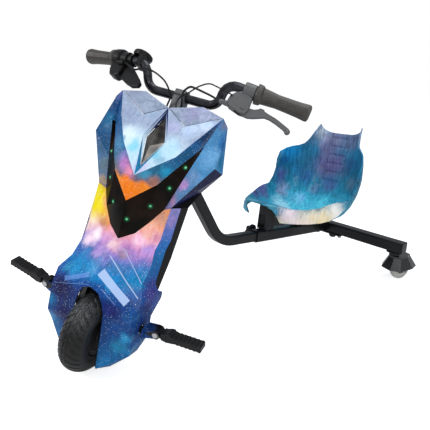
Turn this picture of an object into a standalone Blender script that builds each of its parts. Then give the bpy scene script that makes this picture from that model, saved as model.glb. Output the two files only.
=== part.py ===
import math

import bmesh
import bpy
import numpy as np
from mathutils import Matrix, Vector

# Electric drift kart: one steered, driven front wheel under a faceted moulded cowl,
# a telescoping tube frame, a bucket seat and two swivelling rear casters.
# Metres, +Z up, floor at z = 0. The kart faces -Y and the rider's left is +X.

# Fits
GAP = 0.0003
RUNNING = 0.0005

# Front wheel
TYRE_RADIUS = 0.100
TYRE_WIDTH = 0.064
RIM_RADIUS = 0.050
HUB_WIDTH = 0.060
AXLE_RADIUS = 0.006

# Steering geometry
RAKE = math.radians(27)
FORK_OFFSET = 0.0182
STEER_AT_REST = math.radians(28)
STEERER_RADIUS = 0.0111
HEAD_RADIUS = 0.0165
HEAD_LENGTH = 0.096
HEAD_CENTRE = 0.448
CROWN_HEIGHT = 0.114

# Tube frame
TUBE = 0.030
TUBE_WALL = 0.0020
SLEEVE_WALL = 0.0025
BEND_RADIUS = 0.100
TUBE_SLOPE = math.radians(61.5)
REAR_SLOPE = math.radians(8.5)
BEND_BACK = 0.402
BEND_UP = 0.204
SLEEVE_MOUTH = 0.549
BEAM_BACK = 0.945
BEAM_UP = 0.122
BEAM = 0.036
BEAM_LENGTH = 0.600

# Casters
CASTER_TRAIL = 0.033
CASTER_RADIUS = 0.035
CASTER_WIDTH = 0.024
CASTER_INSET = 0.030
CASTER_YAW = math.radians(-19.5)

# Handlebar and grips
BAR_RADIUS = 0.011
GRIP_RADIUS = 0.0170
BAR_HALF = 0.094

# Cowl
COWL_WALL = 0.003
JOINT = 0.0005
COWL_WIDTH = 0.316
LED_RADIUS = 0.0034

# Pegs
PEG_LENGTH = 0.107
PEG_WIDTH = 0.026
PEG_THICK = 0.017

# Seat
SEAT_WALL = 0.004
SEAT_WIDTH = 0.330


for old in list(bpy.data.objects):
    bpy.data.objects.remove(old, do_unlink=True)


def material(name, rgb, rough, metal=0.0):
    mat = bpy.data.materials.new(name)
    mat.use_nodes = True
    shader = mat.node_tree.nodes["Principled BSDF"]
    shader.inputs["Base Color"].default_value = (*rgb, 1.0)
    shader.inputs["Roughness"].default_value = rough
    shader.inputs["Metallic"].default_value = metal
    mat.diffuse_color = (*rgb, 1.0)
    return mat


BLACK_STEEL = material("satin black steel", (0.012, 0.012, 0.013), 0.38, 0.2)
ZINC = material("zinc plated steel", (0.55, 0.55, 0.56), 0.3, 1.0)
SATIN_BAR = material("satin grey tube", (0.16, 0.16, 0.165), 0.35, 0.8)
CAST = material("grey cast alloy", (0.20, 0.20, 0.205), 0.42, 0.6)
RUBBER = material("grip rubber", (0.05, 0.045, 0.042), 0.75)
TYRE_RUBBER = material("tyre rubber", (0.014, 0.014, 0.014), 0.7)
BLACK_PLASTIC = material("black plastic", (0.015, 0.015, 0.016), 0.45)
GLOSS_BLACK = material("smoked gloss plastic", (0.01, 0.007, 0.006), 0.06)
GREEN = material("green lens", (0.05, 0.55, 0.25), 0.2)
MASK_PAINT = material("pale nebula print", (0.50, 0.58, 0.80), 0.15)
WING_PAINT = material("blue nebula print", (0.12, 0.30, 0.55), 0.15)
BODY_PAINT = material("deep nebula print", (0.06, 0.12, 0.38), 0.15)
SEAT_PAINT = material("seat nebula print", (0.05, 0.28, 0.60), 0.2)
EMBLEM = material("smoked emblem", (0.10, 0.09, 0.085), 0.12, 0.3)
PALE_TYRE = material("pale polyurethane", (0.55, 0.55, 0.50), 0.5)
ALLOY = material("hub alloy", (0.30, 0.30, 0.31), 0.35, 1.0)
DISPLAY = material("display glass", (0.01, 0.012, 0.02), 0.05)


# Frames. An empty carries each moving group, with its Z on the joint's axis.

def frame(name, matrix, parent=None):
    empty = bpy.data.objects.new(name, None)
    bpy.context.collection.objects.link(empty)
    empty.parent = parent
    empty.matrix_basis = matrix
    return empty


def turned_to(direction, sideways=(1.0, 0.0, 0.0)):
    """Rotation whose Z is `direction` and whose X leans to `sideways`."""
    z = Vector(direction).normalized()
    x = Vector(sideways)
    x = (x - z * x.dot(z)).normalized()
    y = z.cross(x)
    return Matrix((x, y, z)).transposed().to_4x4()


def at(x, y, z):
    return Matrix.Translation((x, y, z))


# The steering axis leans back and passes behind the wheel's axle.
AXIS_UP = Vector((0.0, math.sin(RAKE), math.cos(RAKE)))
AXIS_BACK = Vector((0.0, math.cos(RAKE), -math.sin(RAKE)))
AXIS_FOOT = Vector((0.0, FORK_OFFSET / math.cos(RAKE), TYRE_RADIUS))
AXLE_DOWN = FORK_OFFSET * math.tan(RAKE)

HEAD_BASE = Matrix.Translation(AXIS_FOOT) @ turned_to(AXIS_UP)
head_frame = frame("head_frame", HEAD_BASE)
steer_frame = frame("steer_frame", HEAD_BASE @ Matrix.Rotation(STEER_AT_REST, 4, "Z"))
# Same place, but with the kart's upright directions: front pieces are drawn in it
# as they stand when the wheel points straight ahead.
front_frame = frame("front_frame", HEAD_BASE.inverted(), steer_frame)


def new_object(name, bm, mat, parent=None, basis=None, smooth=None):
    bmesh.ops.remove_doubles(bm, verts=bm.verts, dist=0.000002)
    bmesh.ops.recalc_face_normals(bm, faces=bm.faces)
    mesh = bpy.data.meshes.new(name)
    bm.to_mesh(mesh)
    bm.free()
    mesh.materials.append(mat)
    if smooth:
        mesh.shade_smooth()
        mesh.set_sharp_from_angle(angle=math.radians(smooth))
    obj = bpy.data.objects.new(name, mesh)
    bpy.context.collection.objects.link(obj)
    obj.parent = parent
    if basis is not None:
        obj.matrix_basis = basis
    return obj


def guide(obj):
    obj.hide_render = True
    obj.display_type = "WIRE"
    return obj


def combine(obj, tool, operation="DIFFERENCE"):
    mod = obj.modifiers.new(operation.lower(), "BOOLEAN")
    mod.operation = operation
    mod.solver = "EXACT"
    mod.object = guide(tool)
    return obj


def join(obj, *tools):
    for tool in tools:
        combine(obj, tool, "UNION")
    return obj


def cut(obj, *tools):
    for tool in tools:
        combine(obj, tool, "DIFFERENCE")
    return obj


def rings_mesh(rings, wrap=False):
    """Loft through closed loops of points, capped at both ends unless it wraps round."""
    bm = bmesh.new()
    loops = [[bm.verts.new(p) for p in ring] for ring in rings]
    pairs = list(zip(loops, loops[1:]))
    if wrap:
        pairs.append((loops[-1], loops[0]))
    else:
        bm.faces.new(loops[0][::-1])
        bm.faces.new(loops[-1])
    for low, high in pairs:
        count = len(low)
        for i in range(count):
            j = (i + 1) % count
            bm.faces.new((low[i], low[j], high[j], high[i]))
    return bm


def round_section(radius, steps):
    return [(radius * math.cos(2 * math.pi * i / steps), radius * math.sin(2 * math.pi * i / steps))
            for i in range(steps)]


def square_section(width, depth, corner, steps=3):
    points = []
    for k, (sx, sy) in enumerate(((1, 1), (-1, 1), (-1, -1), (1, -1))):
        for i in range(steps + 1):
            a = math.pi / 2 * (k + i / steps)
            x = sx * (width / 2 - corner) + corner * math.cos(a)
            y = sy * (depth / 2 - corner) + corner * math.sin(a)
            points.append((x, y))
    return points


def bent(points, radius, steps=8):
    """Path through corner points with its corners rounded to an arc."""
    points = [Vector(p) for p in points]
    path = [points[0]]
    for before, corner, after in zip(points, points[1:], points[2:]):
        into = (before - corner).normalized()
        out = (after - corner).normalized()
        half = into.angle(out) / 2
        reach = min(radius / math.tan(half), 0.48 * (before - corner).length,
                    0.48 * (after - corner).length)
        arc = reach * math.tan(half)
        centre = corner + (into + out).normalized() * (arc / math.sin(half))
        start = corner + into * reach - centre
        end = corner + out * reach - centre
        turn = start.angle(end)
        for i in range(steps + 1):
            t = i / steps
            spoke = (start * math.sin((1 - t) * turn) + end * math.sin(t * turn)) / math.sin(turn)
            path.append(centre + spoke)
    path.append(points[-1])
    return path


def sweep_rings(path, section, side):
    """Section loops carried along a path without twisting."""
    x = Vector(side)
    rings = []
    for i, point in enumerate(path):
        before = path[max(i - 1, 0)]
        after = path[min(i + 1, len(path) - 1)]
        lead = (point - before).normalized() if i else (after - point).normalized()
        trail = (after - point).normalized() if i < len(path) - 1 else lead
        z = (lead + trail).normalized()
        x = (x - z * x.dot(z)).normalized()
        y = z.cross(x)
        # a mitred corner is stretched across so that the tube keeps its width
        stretch = 1.0 / max(0.5, lead.dot(z))
        bend = trail - lead
        axis = bend.normalized() if bend.length > 1e-6 else None
        ring = []
        for a, b in section:
            offset = x * a + y * b
            if axis is not None:
                offset += axis * offset.dot(axis) * (stretch - 1.0)
            ring.append(point + offset)
        rings.append(ring)
    return rings


def swept(name, path, section, side, mat, parent=None, bore=None, smooth=40, basis=None):
    outer = sweep_rings(path, section, side)
    if bore is None:
        return new_object(name, rings_mesh(outer), mat, parent, basis, smooth)
    inner = sweep_rings(path, bore, side)
    return new_object(name, rings_mesh(outer + inner[::-1], wrap=True), mat, parent, basis, smooth)


def turned(name, profile, mat, parent=None, basis=None, steps=32, closed=True, smooth=40):
    """Profile of (radius, height) spun about Z. An open profile ends on the axis."""
    bm = bmesh.new()
    verts = [bm.verts.new((r, 0.0, h)) for r, h in profile]
    edges = [bm.edges.new(pair) for pair in zip(verts, verts[1:])]
    if closed:
        edges.append(bm.edges.new((verts[-1], verts[0])))
    bmesh.ops.spin(bm, geom=verts + edges, cent=(0, 0, 0), axis=(0, 0, 1),
                   angle=2 * math.pi, steps=steps, use_merge=True)
    return new_object(name, bm, mat, parent, basis, smooth)


def rod(name, radius, low, high, mat, parent=None, basis=None, steps=24):
    profile = [(0.0, low), (radius, low), (radius, high), (0.0, high)]
    return turned(name, profile, mat, parent, basis, steps, closed=False)


def box(name, low, high, mat, parent=None, basis=None, bevel=0.0, steps=2):
    bm = bmesh.new()
    bmesh.ops.create_cube(bm, size=1.0)
    low = Vector(low)
    high = Vector(high)
    for v in bm.verts:
        v.co = Vector([low[i] + (v.co[i] + 0.5) * (high[i] - low[i]) for i in range(3)])
    if bevel:
        bmesh.ops.bevel(bm, geom=bm.edges[:], offset=bevel, segments=steps, profile=0.5,
                        affect="EDGES")
    return new_object(name, bm, mat, parent, basis, 40 if bevel else None)


def plate(name, outline, low, high, mat, parent=None, basis=None, bevel=0.0, steps=1):
    """Flat outline in XY extruded along Z."""
    bm = bmesh.new()
    face = bm.faces.new([bm.verts.new((x, y, low)) for x, y in outline])
    out = bmesh.ops.extrude_face_region(bm, geom=[face])
    moved = [g for g in out["geom"] if isinstance(g, bmesh.types.BMVert)]
    bmesh.ops.translate(bm, verts=moved, vec=(0, 0, high - low))
    bmesh.ops.recalc_face_normals(bm, faces=bm.faces)
    if bevel:
        rim = [e for e in bm.edges if abs(e.verts[0].co.z - e.verts[1].co.z) < 1e-7]
        bmesh.ops.bevel(bm, geom=rim, offset=bevel, segments=steps, profile=0.5, affect="EDGES")
    return new_object(name, bm, mat, parent, basis, 40)


ALONG_X = Matrix.Rotation(math.pi / 2, 4, "Y")


# Front wheel: pneumatic tyre on a hub motor, running on a fixed axle.

wheel_frame = frame("wheel_frame", at(0, 0, TYRE_RADIUS) @ ALONG_X, front_frame)

half = TYRE_WIDTH / 2
tube_radius = 0.6 * (TYRE_RADIUS - RIM_RADIUS)
crown_points = [(RIM_RADIUS + 0.0003, -half + 0.013), (RIM_RADIUS + 0.0035, -half + 0.0095)]
for k in range(11):
    a = math.radians(-118 + 23.6 * k)
    crown_points.append((TYRE_RADIUS - tube_radius + tube_radius * math.cos(a), half * math.sin(a)))
crown_points.append((RIM_RADIUS + 0.0035, half - 0.0095))
crown_points.append((RIM_RADIUS + 0.0003, half - 0.013))
turned("front_tyre", crown_points, TYRE_RUBBER, wheel_frame, None, 48)

bore = AXLE_RADIUS + RUNNING
bead = half - 0.0088
flange = bead + 0.003
boss = HUB_WIDTH / 2
hub_profile = [
    (bore, -boss), (0.020, -boss), (0.024, -boss + 0.004), (RIM_RADIUS - 0.007, -boss + 0.0065),
    (RIM_RADIUS - 0.004, -flange), (RIM_RADIUS + 0.0025, -flange), (RIM_RADIUS + 0.0025, -bead),
    (RIM_RADIUS, -bead + 0.0002), (RIM_RADIUS, bead - 0.0002), (RIM_RADIUS + 0.0025, bead),
    (RIM_RADIUS + 0.0025, flange), (RIM_RADIUS - 0.004, flange), (RIM_RADIUS - 0.007, boss - 0.0065),
    (0.024, boss - 0.004), (0.020, boss), (bore, boss),
]
turned("hub_motor", hub_profile, ALLOY, wheel_frame, None, 30)


# Fork: crown, two flat legs with dropouts, steerer tube.

leg_inner = TYRE_WIDTH / 2 + 0.0035
leg_outer = leg_inner + 0.008
fork = box("fork", (-leg_outer, -FORK_OFFSET - 0.013, CROWN_HEIGHT),
           (leg_outer, 0.018, CROWN_HEIGHT + 0.018), BLACK_STEEL, steer_frame, None, 0.0015, 1)
for side in (-1, 1):
    low, high = sorted((side * leg_inner, side * leg_outer))
    leg = box("fork_leg", (low, -FORK_OFFSET - 0.013, -AXLE_DOWN - 0.013),
              (high, -FORK_OFFSET + 0.013, CROWN_HEIGHT + 0.004), BLACK_STEEL, steer_frame)
    join(fork, leg)
steerer_top = HEAD_CENTRE + HEAD_LENGTH / 2 + 0.040
join(fork, rod("steerer", STEERER_RADIUS, CROWN_HEIGHT + 0.010, steerer_top, BLACK_STEEL, steer_frame))
cut(fork, rod("axle_hole", AXLE_RADIUS + GAP, -0.08, 0.08, BLACK_STEEL, front_frame,
              at(0, 0, TYRE_RADIUS) @ ALONG_X))

rod("axle", AXLE_RADIUS, -leg_outer - 0.012, leg_outer + 0.012, ZINC, front_frame,
    at(0, 0, TYRE_RADIUS) @ ALONG_X, 20)
for side, word in ((1, "left"), (-1, "right")):
    low = leg_outer + GAP
    hexagon = [(0.0105 * math.cos(math.pi / 3 * i), 0.0105 * math.sin(math.pi / 3 * i)) for i in range(6)]
    nut = plate("axle_nut_" + word, hexagon, low, low + 0.009, ZINC, front_frame,
                at(0, 0, TYRE_RADIUS) @ Matrix.Rotation(side * math.pi / 2, 4, "Y"), 0.0008)
    cut(nut, rod("nut_bore", AXLE_RADIUS + GAP, 0.0, 0.08, ZINC, front_frame,
                 at(0, 0, TYRE_RADIUS) @ Matrix.Rotation(side * math.pi / 2, 4, "Y"), 20))


# Head tube with its two bearing cups, on the frame side of the steering axis.

head_low = HEAD_CENTRE - HEAD_LENGTH / 2
head_high = HEAD_CENTRE + HEAD_LENGTH / 2
head_bore = STEERER_RADIUS + 0.0025
turned("head_tube", [(head_bore, head_low), (HEAD_RADIUS, head_low), (HEAD_RADIUS, head_high),
                     (head_bore, head_high)], BLACK_STEEL, head_frame, None, 32)
for word, base, way in (("lower", head_low, -1), ("upper", head_high, 1)):
    near = base + way * GAP
    far = base + way * 0.009
    turned("head_bearing_" + word,
           [(STEERER_RADIUS + RUNNING, near), (HEAD_RADIUS + 0.0015, near),
            (HEAD_RADIUS + 0.0015, base + way * 0.006), (HEAD_RADIUS - 0.002, far),
            (STEERER_RADIUS + RUNNING, far)], ZINC, head_frame, None, 32)


# Main tube: leaves the head tube steeply, bends and runs back inside the sleeve.

steep = Vector((0, math.cos(TUBE_SLOPE), -math.sin(TUBE_SLOPE)))
bend_point = Vector((0, BEND_BACK, BEND_UP))
# where the steep line meets the steering axis
reach = (bend_point - AXIS_FOOT).dot(AXIS_BACK) / steep.dot(AXIS_BACK)
tube_top = bend_point - steep * (reach - 0.006)
rear_way = Vector((0, math.cos(REAR_SLOPE), -math.sin(REAR_SLOPE)))
tube_end = bend_point + rear_way * 0.440
main_path = bent([tube_top, bend_point, tube_end], BEND_RADIUS, 7)
main_tube = swept("main_tube", main_path, square_section(TUBE, TUBE, 0.005),
                  (1, 0, 0), BLACK_STEEL, None,
                  square_section(TUBE - 2 * TUBE_WALL, TUBE - 2 * TUBE_WALL, 0.0032))
cut(main_tube, rod("head_cope", HEAD_RADIUS + GAP, 0.0, 0.9, BLACK_STEEL, head_frame, None, 32))


# Rear sleeve: the main tube telescopes in it to set the kart's length.

def on_rear_line(back):
    return bend_point + rear_way * ((back - BEND_BACK) / math.cos(REAR_SLOPE))


SLEEVE = TUBE + 2 * RUNNING + 2 * SLEEVE_WALL
sleeve = swept("rear_sleeve", [on_rear_line(SLEEVE_MOUTH), on_rear_line(BEAM_BACK)],
               square_section(SLEEVE, SLEEVE, 0.006), (1, 0, 0), BLACK_STEEL, None,
               square_section(SLEEVE - 2 * SLEEVE_WALL, SLEEVE - 2 * SLEEVE_WALL, 0.0045))
cut(sleeve, box("beam_room", (-0.1, BEAM_BACK - BEAM / 2 - GAP, 0), (0.1, BEAM_BACK + 0.1, 0.3), BLACK_STEEL))

knob_at = on_rear_line(SLEEVE_MOUTH + 0.031)
knob_frame = frame("knob_frame", Matrix.Translation(knob_at) @ turned_to((-1, 0, 0), (0, 1, 0)))
boss = turned("knob_boss", [(0.0045, SLEEVE / 2 - 0.001), (0.010, SLEEVE / 2 - 0.001),
                            (0.010, SLEEVE / 2 + 0.010), (0.0045, SLEEVE / 2 + 0.010)],
              BLACK_STEEL, knob_frame, None, 24)
join(sleeve, boss)
cut(sleeve, rod("stud_hole", 0.0045, TUBE / 2 - 0.003, SLEEVE / 2 + 0.02, BLACK_STEEL, knob_frame, None, 16))

knob_low = SLEEVE / 2 + 0.0125
lobes = []
for i in range(24):
    a = 2 * math.pi * i / 24
    r = 0.0215 + 0.0030 * math.cos(6 * a)
    lobes.append((r * math.cos(a), r * math.sin(a)))
knob = plate("length_lock_knob", lobes, knob_low, knob_low + 0.017, BLACK_PLASTIC, knob_frame, None, 0.002, 2)
join(knob, rod("knob_stud", 0.0040, TUBE / 2 + GAP, knob_low + 0.002, ZINC, knob_frame, None, 16))


# Rear beam with plastic end plugs and the bolted saddle under its middle.

beam_tube = BEAM_LENGTH / 2 - 0.004
swept("rear_beam", [Vector((-beam_tube, BEAM_BACK, BEAM_UP)), Vector((beam_tube, BEAM_BACK, BEAM_UP))],
      square_section(BEAM, BEAM, 0.006, 3), (0, 1, 0), BLACK_STEEL, None,
      square_section(BEAM - 0.004, BEAM - 0.004, 0.0042, 3))
for side, word in ((1, "left"), (-1, "right")):
    basis = Matrix.Translation((side * beam_tube, BEAM_BACK, BEAM_UP)) @ turned_to((side, 0, 0), (0, 1, 0))
    rings = []
    for size, corner, height in ((BEAM - 0.0046, 0.0039, -0.012), (BEAM - 0.0046, 0.0039, GAP),
                                 (BEAM, 0.006, GAP), (BEAM, 0.006, 0.0025), (BEAM - 0.003, 0.005, 0.004)):
        rings.append([Vector((x, y, height)) for x, y in square_section(size, size, corner, 3)])
    new_object("beam_plug_" + word, rings_mesh(rings), BLACK_PLASTIC, None, basis, 40)

saddle_top = BEAM_UP - BEAM / 2 - GAP
saddle_outline = square_section(0.150, 0.036, 0.008, 3)
saddle = plate("beam_saddle", saddle_outline, -0.005, 0.0, BLACK_STEEL, None,
               at(0, BEAM_BACK, saddle_top), 0.001)
for side in (-1, 1):
    join(saddle, turned("saddle_boss", [(0.0, -0.018), (0.010, -0.018), (0.014, -0.012), (0.014, -0.003),
                                        (0.0, -0.003)], BLACK_STEEL, None,
                        at(side * 0.034, BEAM_BACK, saddle_top), 20, closed=False))
for side, word in ((1, "left"), (-1, "right")):
    turned("saddle_bolt_" + word,
           [(0.0, -0.017), (0.004, -0.0165), (0.0065, -0.013), (0.0065, -0.008), (0.0085, -0.0075),
            (0.0085, -0.0053), (0.0, -0.0053)], ZINC, None,
           at(side * 0.062, BEAM_BACK, saddle_top), 16, closed=False)


# Casters: bearing mount on the beam, swivelling guard with cheeks, wheel and axle.

beam_bottom = BEAM_UP - BEAM / 2
guard_top = beam_bottom - 0.0160
for side, word in ((1, "left"), (-1, "right")):
    x = side * (BEAM_LENGTH / 2 - CASTER_INSET)
    mount = plate("caster_mount_" + word, square_section(0.046, 0.034, 0.006, 3), -0.005, -GAP,
                  BLACK_STEEL, None, at(x, BEAM_BACK, beam_bottom), 0.001)
    join(mount, turned("caster_race", [(0.0, -0.0045), (0.0175, -0.0045), (0.0175, -0.011), (0.014, -0.0145),
                                       (0.0060, -0.0145), (0.0060, -0.0245), (0.0, -0.0245)], ZINC, None,
                       at(x, BEAM_BACK, beam_bottom), 24, closed=False))

    swivel = frame("caster_frame_" + word, at(x, BEAM_BACK, 0) @ Matrix.Rotation(CASTER_YAW, 4, "Z"))
    rings = []
    for spread, height, inward in ((0.60, guard_top, 0.0), (0.62, guard_top - 0.006, 0.0), (1.0, 0.045, 0.0),
                                   (1.0, 0.045, 0.0025), (0.62, guard_top - 0.008, 0.0025),
                                   (0.60, guard_top - 0.009, 0.0025)):
        outline = ((-0.019, -0.030), (0.019, -0.030), (0.041, -0.004), (0.038, 0.048), (0.022, 0.082),
                   (-0.022, 0.082), (-0.038, 0.048), (-0.041, -0.004))
        ring = []
        for a, b in outline:
            p = Vector((a * spread, 0.018 + (b - 0.018) * spread, height))
            centre = Vector((0, 0.018, height))
            ring.append(p - (p - centre).normalized() * inward)
        rings.append(ring)
    guard = new_object("caster_guard_" + word, rings_mesh(rings), BLACK_PLASTIC, swivel, None, 30)
    for lateral in (-1, 1):
        low, high = sorted((lateral * (CASTER_WIDTH / 2 + 0.0015), lateral * (CASTER_WIDTH / 2 + 0.0045)))
        cheek = box("caster_cheek", (low, CASTER_TRAIL - 0.016, CASTER_RADIUS - 0.010),
                    (high, CASTER_TRAIL + 0.012, guard_top - 0.006), BLACK_PLASTIC, swivel)
        join(guard, cheek)
    cut(guard, rod("king_hole", 0.0060 + RUNNING, 0.05, 0.12, BLACK_PLASTIC, swivel, None, 24))
    axle_at = at(0, CASTER_TRAIL, CASTER_RADIUS) @ ALONG_X
    cut(guard, rod("caster_axle_hole", 0.0040 + GAP, -0.03, 0.03, BLACK_PLASTIC, swivel, axle_at, 16))
    end = CASTER_WIDTH / 2 + 0.0048
    turned("caster_axle_" + word,
           [(0.0, -end - 0.003), (0.006, -end - 0.003), (0.006, -end), (0.004, -end), (0.004, end),
            (0.006, end), (0.006, end + 0.003), (0.0, end + 0.003)], ZINC, swivel, axle_at, 16, closed=False)
    w = CASTER_WIDTH / 2
    turned("caster_wheel_" + word,
           [(0.0040 + RUNNING, -w), (0.011, -w), (0.013, -w + 0.003), (CASTER_RADIUS - 0.009, -w + 0.003),
            (CASTER_RADIUS - 0.007, -w), (CASTER_RADIUS - 0.0015, -w + 0.003), (CASTER_RADIUS, -w + 0.008),
            (CASTER_RADIUS, w - 0.008), (CASTER_RADIUS - 0.0015, w - 0.003), (CASTER_RADIUS - 0.007, w),
            (CASTER_RADIUS - 0.009, w - 0.003), (0.013, w - 0.003), (0.011, w), (0.0040 + RUNNING, w)],
           PALE_TYRE, swivel, axle_at, 22)


# Faceted cowl. Its outer corners are named points of one skin; every panel takes some
# of the facets, and neighbouring panels share each corner's wall direction, so that
# they meet with an even joint line.

SIDE_CORNERS = {
    "peak": (0.132, 0.239, 0.597), "notch": (0.054, 0.212, 0.562), "crown": (0.076, 0.250, 0.607),
    "crease_high": (0.101, 0.195, 0.551), "crease_mid": (0.068, 0.1615, 0.505),
    "mask_high": (0.114, 0.193, 0.532), "mask_mid": (0.077, 0.141, 0.480), "mask_low": (0.055, 0.118, 0.448),
    "band_high": (0.119, 0.187, 0.536), "band_mid": (0.096, 0.150, 0.458),
    "band_low": (0.078, 0.122, 0.395), "band_foot": (0.058, 0.101, 0.365), "band_bend": (0.033, 0.0838, 0.3335),
    "wing_front": (0.157, 0.177, 0.502), "wing_tip": (0.095, 0.117, 0.405),
    "wing_rear": (0.158, 0.233, 0.472), "wing_top": (0.147, 0.237, 0.580), "wing_under": (0.109, 0.249, 0.405),
    "recess_side": (0.031, 0.182, 0.525), "well_side": (0.024, 0.1853, 0.521),
    "waist": (0.092, 0.095, 0.334), "waist_low": (0.089, 0.081, 0.313), "hip": (0.094, 0.061, 0.276),
    "edge_high": (0.117, 0.163, 0.397), "edge_mid": (0.118, 0.109, 0.288), "edge_low": (0.115, 0.073, 0.221),
    "shoulder": (0.095, 0.033, 0.250), "stripe_end": (0.112, 0.008, 0.223), "corner_high": (0.106, -0.017, 0.199),
    "corner_mid": (0.116, -0.021, 0.118), "corner_low": (0.110, -0.014, 0.088), "corner_foot": (0.066, -0.020, 0.036),
    "arch_shoulder": (0.0190, -0.0195, 0.2245), "arch_bend": (0.0305, -0.0200, 0.2030),
    "arch_high": (0.0372, -0.0215, 0.1760), "arch_mid": (0.041, -0.030, 0.138), "arch_foot": (0.045, -0.047, 0.040),
    "flank_high": (0.117, 0.094, 0.204), "flank_back": (0.116, 0.095, 0.186), "flank_mid": (0.119, 0.048, 0.165),
    "flank_low": (0.117, 0.050, 0.106), "flank_foot": (0.098, 0.044, 0.052),
}
MIDDLE_CORNERS = {
    "apex": (0.229, 0.589), "recess_top": (0.222, 0.581), "well_top": (0.220, 0.569), "well_foot": (0.133, 0.4708),
    "recess_foot": (0.122, 0.468), "crease_foot": (0.110, 0.456), "mask_tip": (0.087, 0.402),
    "band_tip": (0.069, 0.314), "brow": (-0.003, 0.263), "arch_top": (-0.0215, 0.234),
}
DRAWN_WIDTH = 0.316
WIDEN = COWL_WIDTH / DRAWN_WIDTH
skin = {}
for key, (x, y, z) in SIDE_CORNERS.items():
    wide = x * WIDEN
    skin[key] = Vector((wide, y, z))
    skin["-" + key] = Vector((-wide, y, z))
for key, (y, z) in MIDDLE_CORNERS.items():
    skin[key] = Vector((0.0, y, z))

# Facets of the left half, listed turning the same way seen from outside.
FACETS = {
    "mask": (
        ("apex", "recess_top", "recess_side", "notch"), ("notch", "crease_high", "peak"),
        ("notch", "recess_side", "crease_mid", "crease_high"),
        ("recess_side", "recess_foot", "crease_foot", "crease_mid"),
        ("peak", "crease_high", "mask_high"), ("crease_high", "crease_mid", "mask_mid", "mask_high"),
        ("crease_mid", "crease_foot", "mask_low", "mask_mid"), ("crease_foot", "mask_tip", "mask_low"),
        ("recess_top", "well_top", "well_side", "recess_side"),
        ("recess_side", "well_side", "well_foot", "recess_foot"),
    ),
    "top": (("apex", "notch", "crown"), ("notch", "peak", "crown")),
    "band": (
        ("mask_high", "mask_mid", "band_mid", "band_high"), ("mask_mid", "mask_low", "band_low", "band_mid"),
        ("mask_low", "mask_tip", "band_foot", "band_low"), ("mask_tip", "band_tip", "band_bend", "band_foot"),
    ),
    "wing": (
        ("peak", "mask_high", "band_high"), ("peak", "band_high", "wing_front"),
        ("band_high", "band_mid", "wing_front"), ("band_mid", "wing_tip", "wing_front"),
        ("band_mid", "band_low", "wing_tip"), ("peak", "wing_front", "wing_top"),
        ("wing_top", "wing_front", "wing_rear"), ("wing_front", "wing_tip", "wing_rear"),
        ("wing_tip", "wing_under", "wing_rear"), ("wing_tip", "edge_high", "wing_under"),
    ),
    "lower": (
        ("band_low", "band_foot", "waist", "wing_tip"),
        ("waist_low", "waist", "band_foot", "band_bend", "band_tip"),
        ("band_tip", "hip", "waist_low"), ("band_tip", "brow", "shoulder", "hip"),
        ("wing_tip", "waist", "edge_mid", "edge_high"), ("waist", "waist_low", "edge_mid"),
        ("waist_low", "hip", "edge_low", "edge_mid"), ("hip", "shoulder", "edge_low"),
        ("brow", "stripe_end", "shoulder"), ("brow", "corner_high", "stripe_end"),
        ("brow", "arch_shoulder", "corner_high"), ("brow", "arch_top", "arch_shoulder"),
        ("arch_shoulder", "arch_bend", "corner_high"), ("arch_bend", "arch_high", "corner_mid", "corner_high"),
        ("arch_high", "arch_mid", "corner_mid"),
        ("arch_mid", "arch_foot", "corner_low", "corner_mid"), ("arch_foot", "corner_foot", "corner_low"),
        ("shoulder", "stripe_end", "edge_low"), ("stripe_end", "flank_back", "flank_high", "edge_low"),
        ("stripe_end", "corner_high", "flank_mid", "flank_back"),
        ("corner_high", "corner_mid", "flank_low", "flank_mid"),
        ("corner_mid", "corner_low", "flank_foot", "flank_low"), ("corner_low", "corner_foot", "flank_foot"),
    ),
}


def mirrored(facet):
    other = []
    for key in facet[:1] + facet[:0:-1]:
        other.append(key if key in MIDDLE_CORNERS else "-" + key)
    return tuple(other)


def facet_normal(facet, points=skin):
    total = Vector()
    origin = points[facet[0]]
    for one, two in zip(facet[1:], facet[2:]):
        total += (points[one] - origin).cross(points[two] - origin)
    return total.normalized()


whole_skin = [f for facets in FACETS.values() for f in facets]
whole_skin += [mirrored(f) for f in whole_skin]


def wall_directions(facets, depth, points=skin):
    """For each corner, the step inward that keeps every facet round it at one depth."""
    around = {}
    for facet in facets:
        normal = facet_normal(facet, points)
        for key in facet:
            around.setdefault(key, []).append(normal)
    steps = {}
    for key, normals in around.items():
        mean = sum(normals, Vector()).normalized()
        rows = np.array([list(n) for n in normals] + [list(0.35 * n) for n in (mean,)])
        goal = np.array([-depth] * len(normals) + [-0.35 * depth])
        step = Vector(np.linalg.lstsq(rows, goal, rcond=0.12)[0])
        if step.length > 1.9 * depth:
            step = step.normalized() * 1.9 * depth
        steps[key] = step
    return steps


inward = wall_directions(whole_skin, COWL_WALL)


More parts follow.
